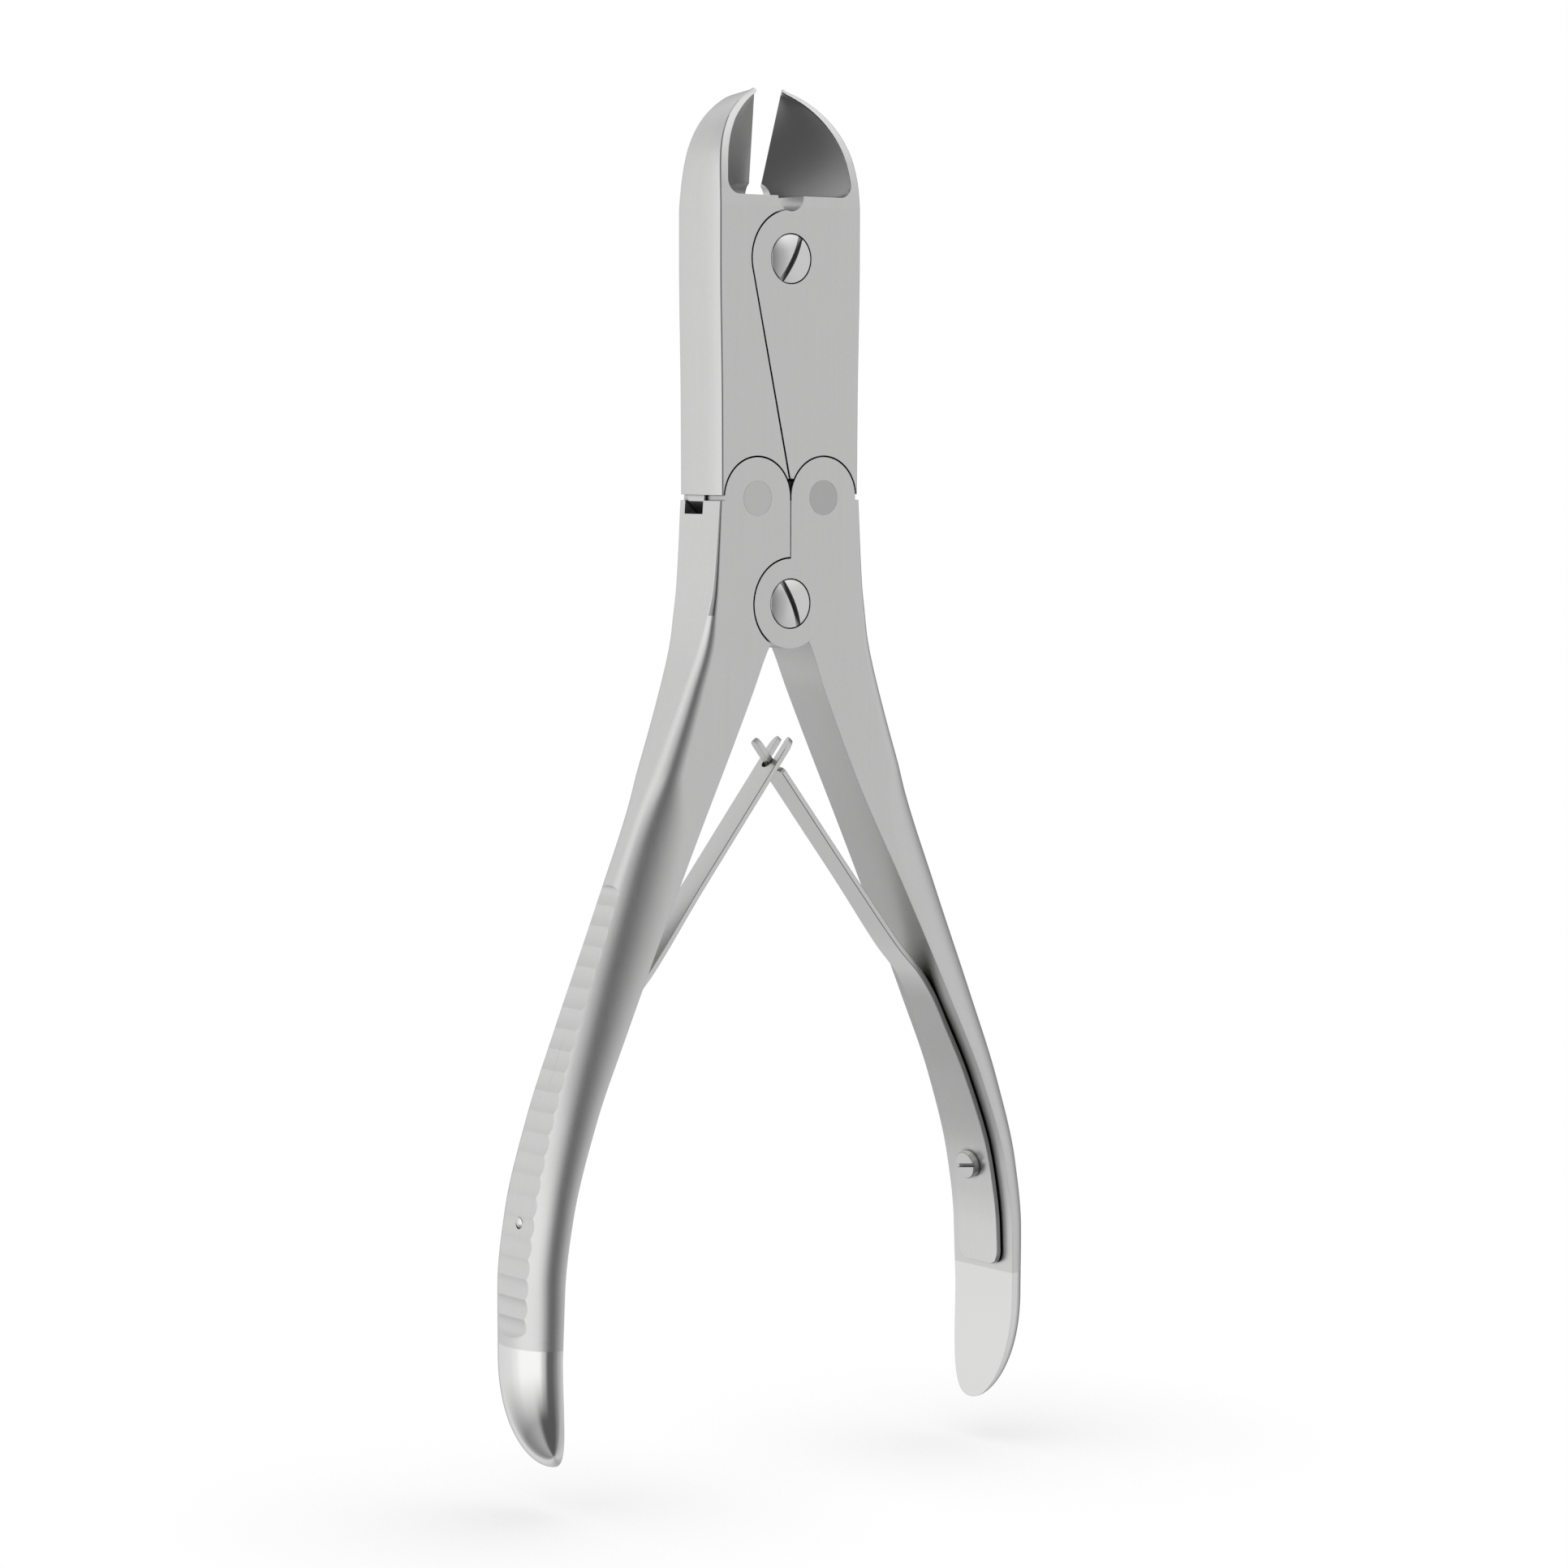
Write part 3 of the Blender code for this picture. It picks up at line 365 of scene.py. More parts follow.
def turned(name, profile, matrix, segments=96):
    """Turned piece from a profile of (radius, height) that starts and ends on the axis."""
    bm = bmesh.new()
    rings = []
    for radius, height in profile:
        if radius == 0:
            rings.append([bm.verts.new((0, 0, height))])
            continue
        turns = [2 * math.pi * i / segments for i in range(segments)]
        rings.append([bm.verts.new((radius * math.cos(t), radius * math.sin(t), height)) for t in turns])
    for a, b in zip(rings, rings[1:]):
        for i in range(segments):
            j = (i + 1) % segments
            corners = [a[i % len(a)], a[j % len(a)], b[j % len(b)], b[i % len(b)]]
            bm.faces.new(list(dict.fromkeys(corners)))
    bmesh.ops.transform(bm, matrix=matrix, verts=bm.verts)
    return mesh_object(name, bm)


def paint(obj, material, chosen):
    """Give the faces picked by chosen(centre, normal) a second material."""
    obj.data.materials.append(material)
    index = len(obj.data.materials) - 1
    for face in obj.data.polygons:
        if chosen(face.center, face.normal):
            face.material_index = index


# ---- jaws ----------------------------------------------------------------------------------
def edge_x(height):
    return JAW_TIP_HALF_GAP * (height - JAW_PIVOT_Z) / (TIP_Z - JAW_PIVOT_Z)


def edge_y(height):
    share = (height - EDGE_ROOT_Z) / (TIP_Z - EDGE_ROOT_Z)
    return EDGE_ROOT_Y + (EDGE_TIP_Y - EDGE_ROOT_Y) * share


def jaw_outer_x(height):
    rows = [(z, x) for x, z in JAW_OUTER_EDGE] + [(TIP_Z / MM, JAW_TIP_HALF_GAP / MM)]
    return curve_value_mm(rows, height)


def jaw_front_y(height):
    return curve_value_mm([(z, y) for y, z in JAW_FRONT_PROFILE], height)


def jaw_back_y(height):
    return curve_value_mm([(z, y) for y, z in JAW_BACK_PROFILE], height)


def jaw_inner_x(height):
    """Inner side of the blank: the middle seam below the relief, the cutting face above it."""
    root = RELIEF_Z - RELIEF_RADIUS / 2
    if height <= root:
        return SEAM / 2
    if height >= RELIEF_Z:
        return edge_x(height)
    return SEAM / 2 + (edge_x(RELIEF_Z) - SEAM / 2) * (height - root) / (RELIEF_Z - root)


def bevel_start(height):
    """Depth where the bevel behind the cutting edge starts; at the back below the edge's root."""
    back = jaw_back_y(height)
    share = min(max((height - RELIEF_Z) / (EDGE_ROOT_Z - RELIEF_Z), 0.0), 1.0)
    return back + (min(edge_y(height) + BEVEL_LAND, back) - back) * share


def jaw_section(side, height):
    """One level of the blank: crowned side face, softened edges, bevel behind the cutting edge."""
    inner = jaw_inner_x(height)
    width = max(jaw_outer_x(height) - inner, LEAST_WIDTH)
    fullness = min(1.0, width / JAW_FULL_WIDTH)
    outer = inner + width + JAW_BULGE * fullness
    front, bevel_y = jaw_front_y(height), bevel_start(height)
    corner = min(JAW_CORNER, (outer - inner) / 4)
    crown = JAW_CROWN * fullness
    room = (outer - crown - corner - inner) * BEVEL_ROOM
    back = min(jaw_back_y(height), bevel_y + room / BEVEL_RUN)
    front = min(front, back - 3 * corner)
    inner_front = min(front, bevel_y - SLIVER)
    bevel_x = inner + (back - bevel_y) * BEVEL_RUN + BEVEL_STEP
    points = [(bevel_x, back), (inner, bevel_y), (inner, inner_front)]
    side_steps, corner_steps = 14, 4
    half = (back - front) / 2 - corner
    centre = (front + back) / 2
    for i in range(corner_steps):
        turn = math.radians(90 * i / corner_steps)
        points.append((outer - crown - corner + corner * math.sin(turn),
                       front + corner - corner * math.cos(turn)))
    for i in range(side_steps + 1):
        share = 2 * i / side_steps - 1
        bulge = crown * abs(share) ** 3 * (1.0 if share < 0 else JAW_BACK_CROWN)
        points.append((outer - bulge, centre + half * share))
    for i in range(1, corner_steps + 1):
        turn = math.radians(90 * i / corner_steps)
        points.append((outer - crown * JAW_BACK_CROWN - corner + corner * math.cos(turn),
                       back - corner + corner * math.sin(turn)))
    return [(side * x, y, height) for x, y in points]


def spread(start, end, steps):
    return [start + (end - start) * i / steps for i in range(steps + 1)]


def teardrop(radius, apex_z, half_width):
    drop = JAW_PIVOT_Z - apex_z
    tangent = math.degrees(math.acos((radius - half_width) / drop))
    points = arc((0.0, JAW_PIVOT_Z), radius, -90 + tangent, 270 - tangent, 120)
    return points + [(-half_width, apex_z), (half_width, apex_z)]


def recess_rim(height):
    """Where the hollow ground face ends: how far out, and how deep."""
    x = max(jaw_outer_x(height) - RECESS_RIM, edge_x(height) + SLIVER)
    return x, min(jaw_front_y(height) + RECESS_WALL, edge_y(height) - SLIVER)


def recess_side(height):
    """Outer wall of the recess, with its rounded lower corner."""
    x, floor = recess_rim(height)[0], height - RECESS_FLOOR_Z
    if floor < RECESS_CORNER:
        x -= RECESS_CORNER - math.sqrt(max(RECESS_CORNER ** 2 - (RECESS_CORNER - floor) ** 2, 0.0))
    return x


def hollow_y(height, x):
    """Depth of the hollow ground face, which the rounded corner doesn't change."""
    inner_x, inner_y = edge_x(height), edge_y(height)
    rim_x, rim_y = recess_rim(height)
    share = (x - inner_x) / (rim_x - inner_x)
    hollow = 4 * RECESS_HOLLOW * min(1.0, (rim_x - inner_x) / RECESS_FULL_WIDTH)
    return inner_y + (rim_y - inner_y) * share + hollow * share * (1 - share)


def recess_section(side, height):
    inner_x, side_x = edge_x(height), recess_side(height)
    points = [(x, hollow_y(height, x)) for x in spread(inner_x, side_x, 24)]
    slope = (points[1][1] - points[0][1]) / (points[1][0] - points[0][0])
    overrun = inner_x + RECESS_OVERRUN
    points.insert(0, (inner_x - overrun, points[0][1] + min(-slope * overrun, STEEPEST_RUN)))
    points += [(side_x, -BEYOND), (points[0][0], -BEYOND)]
    return [(side * x, y, height) for x, y in points]


def on_recess(side, point):
    """Whether a point lies on the hollow ground face of the jaw."""
    if not RECESS_FLOOR_Z < point.z < TIP_Z:
        return False
    x = side * point.x
    if not edge_x(point.z) - EDGE_SLACK < x < recess_side(point.z) + SLIVER:
        return False
    return abs(point.y - hollow_y(point.z, x)) < RECESS_SLACK


def on_front_corner(side, point, normal):
    """Whether a face belongs to the rounded edge between the jaw's front and outer side."""
    near = side * point.x > jaw_outer_x(point.z) + JAW_BULGE - JAW_CROWN - JAW_CORNER * CORNER_REACH
    return near and normal.y < -CORNER_FORWARDS and side * normal.x > CORNER_SIDEWAYS


def on_relief(point):
    """Whether a point lies on the bored wall of the relief, left of the right jaw's strip."""
    from_middle = math.hypot(point.x, point.z - RELIEF_Z)
    return abs(from_middle - RELIEF_RADIUS) < RELIEF_SLACK and point.x < RELIEF_STRIP_X


def recess(side):
    turns = [math.radians(angle) for angle in range(0, 91, 9)]
    levels = [RECESS_FLOOR_Z + RECESS_CORNER * (1 - math.cos(turn)) for turn in turns]
    levels += spread(levels[-1], TIP_Z + SEAM, 40)[1:]
    return loft("recess", [recess_section(side, z) for z in levels])


def pivot_bores(height):
    shank = round_bar("shank_bore", (0, -BEYOND, height), (0, BEYOND, height), SHANK_RADIUS + HEAD_GAP)
    head = round_bar("head_seat", (0, -BEYOND, height), (0, -HALF_DEPTH + HEAD_DEPTH + HEAD_GAP, height),
                     HEAD_RADIUS + HEAD_GAP)
    return [("DIFFERENCE", shank), ("DIFFERENCE", head)]


def tongue_outline():
    """Round tongue on the link pin, with a lip at the mouth of the handle's slot."""
    points = arc((PIN_X, PIN_Z), TONGUE_OUTER_RADIUS, -4, 35, 20)
    return points + arc((PIN_X, PIN_Z), TONGUE_RADIUS, 60, 330, 80)


def make_jaw(side):
    levels = spread(JAW_BOTTOM_Z, JAW_NOSE_Z, 24) + spread(JAW_NOSE_Z, TIP_Z, 90)[1:]
    jaw = loft("jaw_%s_finished" % SIDE_NAME[side], [jaw_section(side, z) for z in levels])
    hub = upright_plate("hub", side, teardrop(JAW_HUB_RADIUS, JAW_CUSP_Z, 0.05 * MM), SEAM / 2, HALF_DEPTH)
    room = upright_plate("room", side, teardrop(JAW_HUB_RADIUS + SEAM, JAW_CUSP_Z - SEAM, 0.35 * MM),
                         -BEYOND, SEAM / 2)
    steps = [("UNION", hub), ("DIFFERENCE", room)]
    low_z = JAW_BOTTOM_Z - SEAM
    cusp = [(-SEAM, low_z), (2 * MM, low_z), (2 * MM, JAW_CUSP_Z), (-SEAM, JAW_CUSP_Z)]
    for low, high in ((-BEYOND, TONGUE_Y[0]), (TONGUE_Y[1], BEYOND)):
        steps.append(("DIFFERENCE", side_bar("pocket", side, PIN_X, PIN_Z, LOBE_POCKET_RADIUS, low, high)))
        steps.append(("DIFFERENCE", upright_plate("cusp", side, cusp, low, high)))
    steps.append(("UNION", upright_plate("tongue", side, tongue_outline(), *TONGUE_Y)))
    steps.append(("DIFFERENCE", side_bar("bore", side, PIN_X, PIN_Z, PIN_BORE_RADIUS, -BEYOND, BEYOND)))
    steps.append(("DIFFERENCE", round_bar("relief", (0, -BEYOND, RELIEF_Z), (0, BEYOND, RELIEF_Z),
                                          RELIEF_RADIUS)))
    steps.append(("DIFFERENCE", recess(side)))
    return carve(jaw, steps + pivot_bores(JAW_PIVOT_Z))


# ---- screws and pins -----------------------------------------------------------------------
def front_facing(height):
    """Frame whose local Z points out of the front face."""
    return Matrix.Translation((0, -HALF_DEPTH, height)) @ Matrix.Rotation(math.pi / 2, 4, "X")


def slot_cutter(length, width, depth, matrix):
    """Cutter for a screw's slot; length and width are half sizes, and the matrix sits on the head."""
    outline = [(-length, -width), (length, -width), (length, width), (-length, width)]
    return plate("slot", [outline], 2 * depth, matrix)


def make_pivot_screw(name, height, slot_angle):
    edge = 0.12 * MM
    rim = HEAD_RADIUS - edge
    dome = [(rim * i / 16, HEAD_DOME * (1 - (i / 16) ** 2)) for i in range(17)]
    profile = dome + [(HEAD_RADIUS, -edge), (HEAD_RADIUS, -HEAD_DEPTH), (SHANK_RADIUS, -HEAD_DEPTH),
                      (SHANK_RADIUS, -2 * HALF_DEPTH + edge), (SHANK_RADIUS - edge, -2 * HALF_DEPTH),
                      (0, -2 * HALF_DEPTH)]
    placed = front_facing(height)
    screw = turned(name, profile, placed)
    length = 2 * HEAD_RADIUS
    turn = Matrix.Translation((0, 0, HEAD_DOME)) @ Matrix.Rotation(math.pi / 2 - slot_angle, 4, "Z")
    return carve(screw, [("DIFFERENCE", slot_cutter(length, SLOT_WIDTH / 2, SLOT_DEPTH, placed @ turn))])


def make_link_pin(side):
    profile = [(0, 0), (PIN_RADIUS, 0), (PIN_RADIUS, -2 * HALF_DEPTH), (0, -2 * HALF_DEPTH)]
    placed = Matrix.Translation((side * PIN_X, 0, 0)) @ front_facing(PIN_Z)
    return turned("link_pin_%s_finished" % SIDE_NAME[side], profile, placed)


# ---- handles -------------------------------------------------------------------------------
def handle_values(height):
    """Inner face, outer face, half depth and corner radius of the handle at one height."""
    level = max(height, GRIP_ROUND_Z)
    inner, outer, half, corner = (curve_value_mm(HANDLE_STATIONS, level, column) for column in (1, 2, 3, 4))
    if height < GRIP_ROUND_Z:
        run = (GRIP_ROUND_Z - height) / (GRIP_ROUND_Z - GRIP_END_Z)
        inner, outer = inner - GRIP_END_DRIFT * run ** 2, outer - GRIP_END_DRIFT * run ** 2
        outer = inner + (outer - inner) * math.sqrt(max(1 - run ** 3, 0.0))
        half *= max(1 - run ** GRIP_END_POWER, 0.0) ** (1 / GRIP_END_POWER)
        corner = half
    return inner, outer, half, corner


def flute_cut(height):
    """How far the cross flutes cut into the grip's outer face at one height."""
    down = (RIB_TOP_Z - height) / RIB_PITCH
    nearest = min(max(math.floor(down), 0), RIB_COUNT - 1)
    off_middle = down - nearest - 0.5
    running_out = (nearest == 0 and off_middle < 0) or (nearest == RIB_COUNT - 1 and off_middle > 0)
    radius = RIB_END_RADIUS if running_out else RIB_RADIUS
    from_end = min(max(min(down, RIB_COUNT - down), 0.0) / RIB_FADE, 1.0)
    depth = RIB_DEPTH * (RIB_FIRST_SHARE + (1 - RIB_FIRST_SHARE) * from_end)
    return max(depth - (off_middle * RIB_PITCH) ** 2 / (2 * radius), 0.0)


def fully_round(share):
    """How far the outer face has become one half ellipse, from corner radius over half depth."""
    t = min(max((share - ROUND_FROM) / (1 - ROUND_FROM), 0.0), 1.0)
    return t * t * (3 - 2 * t)


def handle_section(side, height):
    """D-shaped level: flat inner face, two rounded corners, flutes cut across the outside."""
    inner, outer, half, corner = handle_values(height)
    corner_x = corner + (outer - inner - corner) * fully_round(corner / half)
    cut = flute_cut(height)
    cut_turn = min(math.asin(max(1 - cut / corner_x, 0.0)), LAST_TURN)
    turns = spread(0.0, cut_turn, FRONT_STEPS) + spread(cut_turn, math.pi / 2, FLUTE_STEPS)[1:]
    points = [(inner, half), (inner, 0.0), (inner, -half)]
    for sign, ordered in ((-1, turns), (1, turns[::-1])):
        for turn in ordered:
            x = outer - corner_x + corner_x * math.sin(turn)
            points.append((min(x, outer - cut), sign * (half - corner + corner * math.cos(turn))))
        if sign < 0:
            for share in (0.2, 0.4, 0.6, 0.8):
                points.append((outer - cut, (half - corner) * (2 * share - 1)))
    return [(side * x, y, height) for x, y in points]


def on_handle_corner(side, point, normal):
    """Whether a face belongs to the narrow corner between the handle's front and side, near its top."""
    if not HANDLE_LINE_END_Z < point.z < HANDLE_STATIONS[0][0] * MM:
        return False
    outer, half, corner = handle_values(point.z)[1:]
    near = side * point.x > outer - corner - HAIRLINE and point.y < corner + HAIRLINE - half
    return near and normal.y < -CORNER_FORWARDS and side * normal.x > CORNER_SIDEWAYS


def handle_levels():
    top = HANDLE_STATIONS[0][0] * MM
    ribs_end = RIB_TOP_Z - RIB_PITCH * RIB_COUNT
    levels = spread(top, RIB_TOP_Z, 60) + spread(RIB_TOP_Z, ribs_end, RIB_COUNT * 20)[1:]
    levels += spread(ribs_end, GRIP_ROUND_Z, 4)[1:]
    span = GRIP_ROUND_Z - GRIP_END_Z
    for i in range(1, GRIP_END_LEVELS + 1):
        levels.append(GRIP_ROUND_Z - span * math.sin(math.radians(GRIP_END_TURN * i / GRIP_END_LEVELS)))
    return levels


def make_handle(side):
    handle = loft("handle_%s_finished" % SIDE_NAME[side], [handle_section(side, z) for z in handle_levels()])
    lobes = side_bar("lobes", side, PIN_X, PIN_Z, LOBE_RADIUS, -HALF_DEPTH, HALF_DEPTH)
    hub = side_bar("hub", side, 0, 0, HANDLE_HUB_RADIUS, SEAM / 2, HALF_DEPTH)
    room = side_bar("room", side, 0, 0, HANDLE_HUB_RADIUS + SEAM, -BEYOND, SEAM / 2)
    slot = side_bar("clevis", side, PIN_X, PIN_Z, CLEVIS_RADIUS, *CLEVIS_Y)
    bore = side_bar("bore", side, PIN_X, PIN_Z, PIN_RADIUS + HAIRLINE, -BEYOND, BEYOND)
    outer = handle_values(WINDOW_Z)[1]
    window = [(outer - WINDOW_DEPTH, WINDOW_Z), (outer + BEYOND, WINDOW_Z), (outer + BEYOND, BEYOND * 2),
              (outer - WINDOW_DEPTH, BEYOND * 2)]
    steps = [("UNION", lobes), ("UNION", hub)]
    steps += [("DIFFERENCE", cutter) for cutter in (room, slot, bore)]
    steps.append(("DIFFERENCE", upright_plate("window", side, window, *CLEVIS_Y)))
    steps.append(("DIFFERENCE", spring_screw_bore(side)))
    return carve(handle, steps + pivot_bores(0.0))


# ---- leaf springs --------------------------------------------------------------------------
def inner_face_lean(height):
    return math.atan2(handle_values(height - MM)[0] - handle_values(height + MM)[0], 2 * MM)


def before_crossing(distance):
    return distance * math.sin(LEAF_ANGLE), CROSSING_Z - distance * math.cos(LEAF_ANGLE)


def leaf_knots():
    """The leaf's middle line as in the CAD, from its lower end to its tip."""
    off = LEAF_GAP + LEAF_THICKNESS / 2
    knots = []
    for z in spread(LEAF_END_Z, LEAF_LEAVES_Z, 12):
        knots.append((handle_values(z)[0] - off / math.cos(inner_face_lean(z)), z))
    knots += [(x * MM, z * MM) for x, z in LEAF_BEND]
    knots += [((CROSSING_Z - z * MM) * math.tan(LEAF_ANGLE), z * MM) for z in LEAF_STRAIGHT]
    return knots + [(0.0, CROSSING_Z), before_crossing(-LEAF_PAST_CROSSING)]


def leaf_path():
    """Smooth, evenly sampled version of the middle line."""
    rows = [(z / MM, x / MM) for x, z in leaf_knots()]
    low, high = rows[0][0], rows[-1][0]
    return [(curve_value(rows, z) * MM, z * MM) for z in spread(low, high, 190)]


def leaf_half_width(height):
    half = curve_value_mm(LEAF_WIDTHS, height) / 2
    end = (height - LEAF_END_Z) / LEAF_END_LENGTH
    if end < 1:
        half -= LEAF_END_PULL * (1 - math.sqrt(max(1 - (1 - end) ** 2, 0.0)))
    return half


def leaf_strip(name, side):
    path = leaf_path()
    rings = []
    for i, (x, z) in enumerate(path):
        before, after = path[max(i - 1, 0)], path[min(i + 1, len(path) - 1)]
        along = Vector((after[0] - before[0], after[1] - before[1])).normalized()
        across = Vector((-along.y, along.x))
        t, w, e = LEAF_THICKNESS / 2, leaf_half_width(z), LEAF_EDGE
        outline = [(t, -w + e), (t, w - e), (t - e, w), (-t + e, w), (-t, w - e), (-t, -w + e),
                   (-t + e, -w), (t - e, -w)]
        rings.append([(side * (x + s * across.x), y, z + s * across.y) for s, y in outline])
    return loft(name, rings)


def tip_frame(side):
    """Local X runs up the straight part from the crossing, local Y is depth, local Z its normal."""
    up = Vector((-side * math.sin(LEAF_ANGLE), 0, math.cos(LEAF_ANGLE)))
    depth = Vector((0, 1, 0))
    matrix = Matrix((up, depth, up.cross(depth))).transposed().to_4x4()
    return Matrix.Translation((0, 0, CROSSING_Z)) @ matrix


def mirrored(points):
    return points + [(s, -y) for s, y in reversed(points)]


def fork_keep():
    """Outline of the forked end: two prongs with rounded tips and a round-bottomed slot."""
    outer = [(-3.6, 3.4), (-1.8, 3.4), (-1.8, 2.66), (2.6, 2.62)]
    tip = [(3.6, 2.5), (4.4, 2.28), (4.95, 1.98), (5.2, 1.66), (5.2, 1.42), (4.95, 1.22), (4.4, 1.13)]
    slot = [(2.0, 1.12), (-0.4, 1.12), (-0.95, 0.98), (-1.22, 0.62), (-1.3, 0.0)]
    return mirrored([(s * MM, y * MM) for s, y in outer + tip + slot])


def tongue_keep():
    """Outline of the tongued end: rounded shoulders and a rounded tongue between them."""
    shoulder = [(-3.6, 3.4), (-2.4, 3.4), (-2.4, 2.68), (-1.9, 2.62), (-1.5, 2.3), (-1.3, 1.8), (-1.2, 1.3)]
    tongue = [(-1.0, 1.02), (-0.6, 0.95), (3.9, 0.93), (4.6, 0.84), (5.05, 0.55), (5.25, 0.0)]
    return mirrored([(s * MM, y * MM) for s, y in shoulder + tongue])


def make_leaf(side):
    """Strip with its tip cut to shape, and left whole below it."""
    leaf = leaf_strip("leaf_spring_" + SIDE_NAME[side], side)
    keep = fork_keep() if side == LEFT else tongue_keep()
    start, end, reach, thickness = keep[0][0], 9 * MM, 5 * MM, 3 * MM
    around = [(start, reach)] + keep + [(start, -reach), (end, -reach), (end, reach)]
    waste = plate("waste", [around], thickness, tip_frame(side))
    return carve(leaf, [("DIFFERENCE", waste), ("DIFFERENCE", spring_screw_bore(side))])


# ---- spring screws -------------------------------------------------------------------------
def spring_head(side):
    """Centre of the seat of a spring screw's head, and the way the head points."""
    lean = inner_face_lean(SPRING_SCREW_Z)
    out = Vector((-side * math.cos(lean), 0, -math.sin(lean)))
    face = Vector((side * handle_values(SPRING_SCREW_Z)[0], 0, SPRING_SCREW_Z))
    return face + out * HEAD_STAND_OFF, out


def spring_shank(side):
    """Middle of the shank's peened end, and the way the shank runs towards it."""
    outer = handle_values(PEENED_Z)[1] - flute_cut(PEENED_Z)
    peened = Vector((side * outer, 0, PEENED_Z))
    return peened, (peened - spring_head(side)[0]).normalized()


def spring_screw_bore(side):
    peened, along = spring_shank(side)
    return round_bar("screw_bore", spring_head(side)[0] - along * MM, peened + along * MM,
                     PEENED_RADIUS + HAIRLINE, 48)


def facing(place, direction):
    return Matrix.Translation(place) @ direction.to_track_quat("Z", "Y").to_matrix().to_4x4()


def make_spring_screw(side):
    """Cheese head on the leaf, and a shank whose end is peened over in the handle's outer face."""
    seat, out = spring_head(side)
    peened, along = spring_shank(side)
    edge, dome = 0.15 * MM, 0.3 * MM
    placed = facing(seat, out)
    profile = [(0, SPRING_HEAD_HEIGHT), (SPRING_HEAD_RADIUS - edge, SPRING_HEAD_HEIGHT),
               (SPRING_HEAD_RADIUS, SPRING_HEAD_HEIGHT - edge), (SPRING_HEAD_RADIUS, 0), (0, 0)]
    head = turned("spring_screw_%s_finished" % SIDE_NAME[side], profile, placed)
    end = [(PEENED_RADIUS * i / 6, dome * (1 - (i / 6) ** 2)) for i in range(7)]
    buried = -(peened - seat).length - SPRING_HEAD_HEIGHT / 4
    shank = turned("shank", end + [(PEENED_RADIUS, buried), (0, buried)], facing(peened, along), 48)
    length, width = 2 * SPRING_HEAD_RADIUS, SPRING_SLOT_WIDTH / 2
    turn = Matrix.Translation((0, 0, SPRING_HEAD_HEIGHT)) @ Matrix.Rotation(SPRING_SLOT_ANGLE, 4, "Z")
    slot = slot_cutter(length, width, SPRING_SLOT_DEPTH, placed @ turn)
    return carve(head, [("UNION", shank), ("DIFFERENCE", slot)])


# ---- materials -----------------------------------------------------------------------------
class Nodes:
    """Short way to write a node tree."""

    def __init__(self, tree):
        self.tree = tree

    def add(self, kind, **inputs):
        node = self.tree.nodes.new(kind)
        for name, value in inputs.items():
            if hasattr(node, name):
                setattr(node, name, value)
        return node

    def link(self, output, socket):
        self.tree.links.new(output, socket)

    def math(self, operation, first, second=None, clamp=False):
        node = self.add("ShaderNodeMath", operation=operation, use_clamp=clamp)
        for socket, value in zip(node.inputs, (first, second)):
            if value is None:
                continue
            if isinstance(value, (int, float)):
                socket.default_value = value
            else:
                self.link(value, socket)
        return node.outputs[0]

    def mix(self, factor, first, second):
        node = self.add("ShaderNodeMix", data_type="RGBA")
        self.link(factor, node.inputs["Factor"])
        for name, value in (("A", first), ("B", second)):
            socket = [s for s in node.inputs if s.name == name and s.type == "RGBA"][0]
            if isinstance(value, tuple):
                socket.default_value = value
            else:
                self.link(value, socket)
        return [s for s in node.outputs if s.type == "RGBA"][0]

    def noise(self, vector, scale, detail=2.0):
        node = self.add("ShaderNodeTexNoise")
        node.inputs["Scale"].default_value = scale
        node.inputs["Detail"].default_value = detail
        self.link(vector, node.inputs["Vector"])
        return node.outputs["Fac"]


def steel_noise(n, place, grain):
    """Fine grain, faint lengthways streaks and slow clouds, as a small swing round zero."""
    stretch = n.add("ShaderNodeMapping")
    stretch.inputs["Scale"].default_value = (1.0, 1.0, 0.03)
    n.link(place, stretch.inputs["Vector"])
    layers = [(n.noise(place, 2600.0, 3.0), 0.10), (n.noise(stretch.outputs["Vector"], 1500.0), 0.05),
              (n.noise(place, 90.0), 0.03)]
    total = 0.0
    for value, strength in layers:
        swing = n.math("MULTIPLY", n.math("SUBTRACT", value, 0.5), strength * grain)
        total = n.math("ADD", swing, total)
    height = n.math("ADD", layers[0][0], n.math("MULTIPLY", layers[1][0], 0.4))
    return total, height


def polish_mask(n, place, polish_below):
    """One below a height and nothing above it, with a short soft step, and the reverse."""
    split = n.add("ShaderNodeSeparateXYZ")
    n.link(place, split.inputs["Vector"])
    below = n.math("SUBTRACT", polish_below, split.outputs["Z"])
    mask = n.math("MULTIPLY", below, POLISH_STEP, clamp=True)
    return mask, n.math("SUBTRACT", 1.0, mask)


def painted_contact_shade(n):
    """Painted shade: one on open faces, falling to zero where pieces meet."""
    corner = n.add("ShaderNodeAmbientOcclusion", samples=6)
    corner.inputs["Distance"].default_value = PAINTED_SHADE_REACH
    above_black = n.math("SUBTRACT", corner.outputs["AO"], PAINTED_SHADE_BLACK)
    return n.math("MULTIPLY", above_black, PAINTED_SHADE_GAIN, clamp=True)


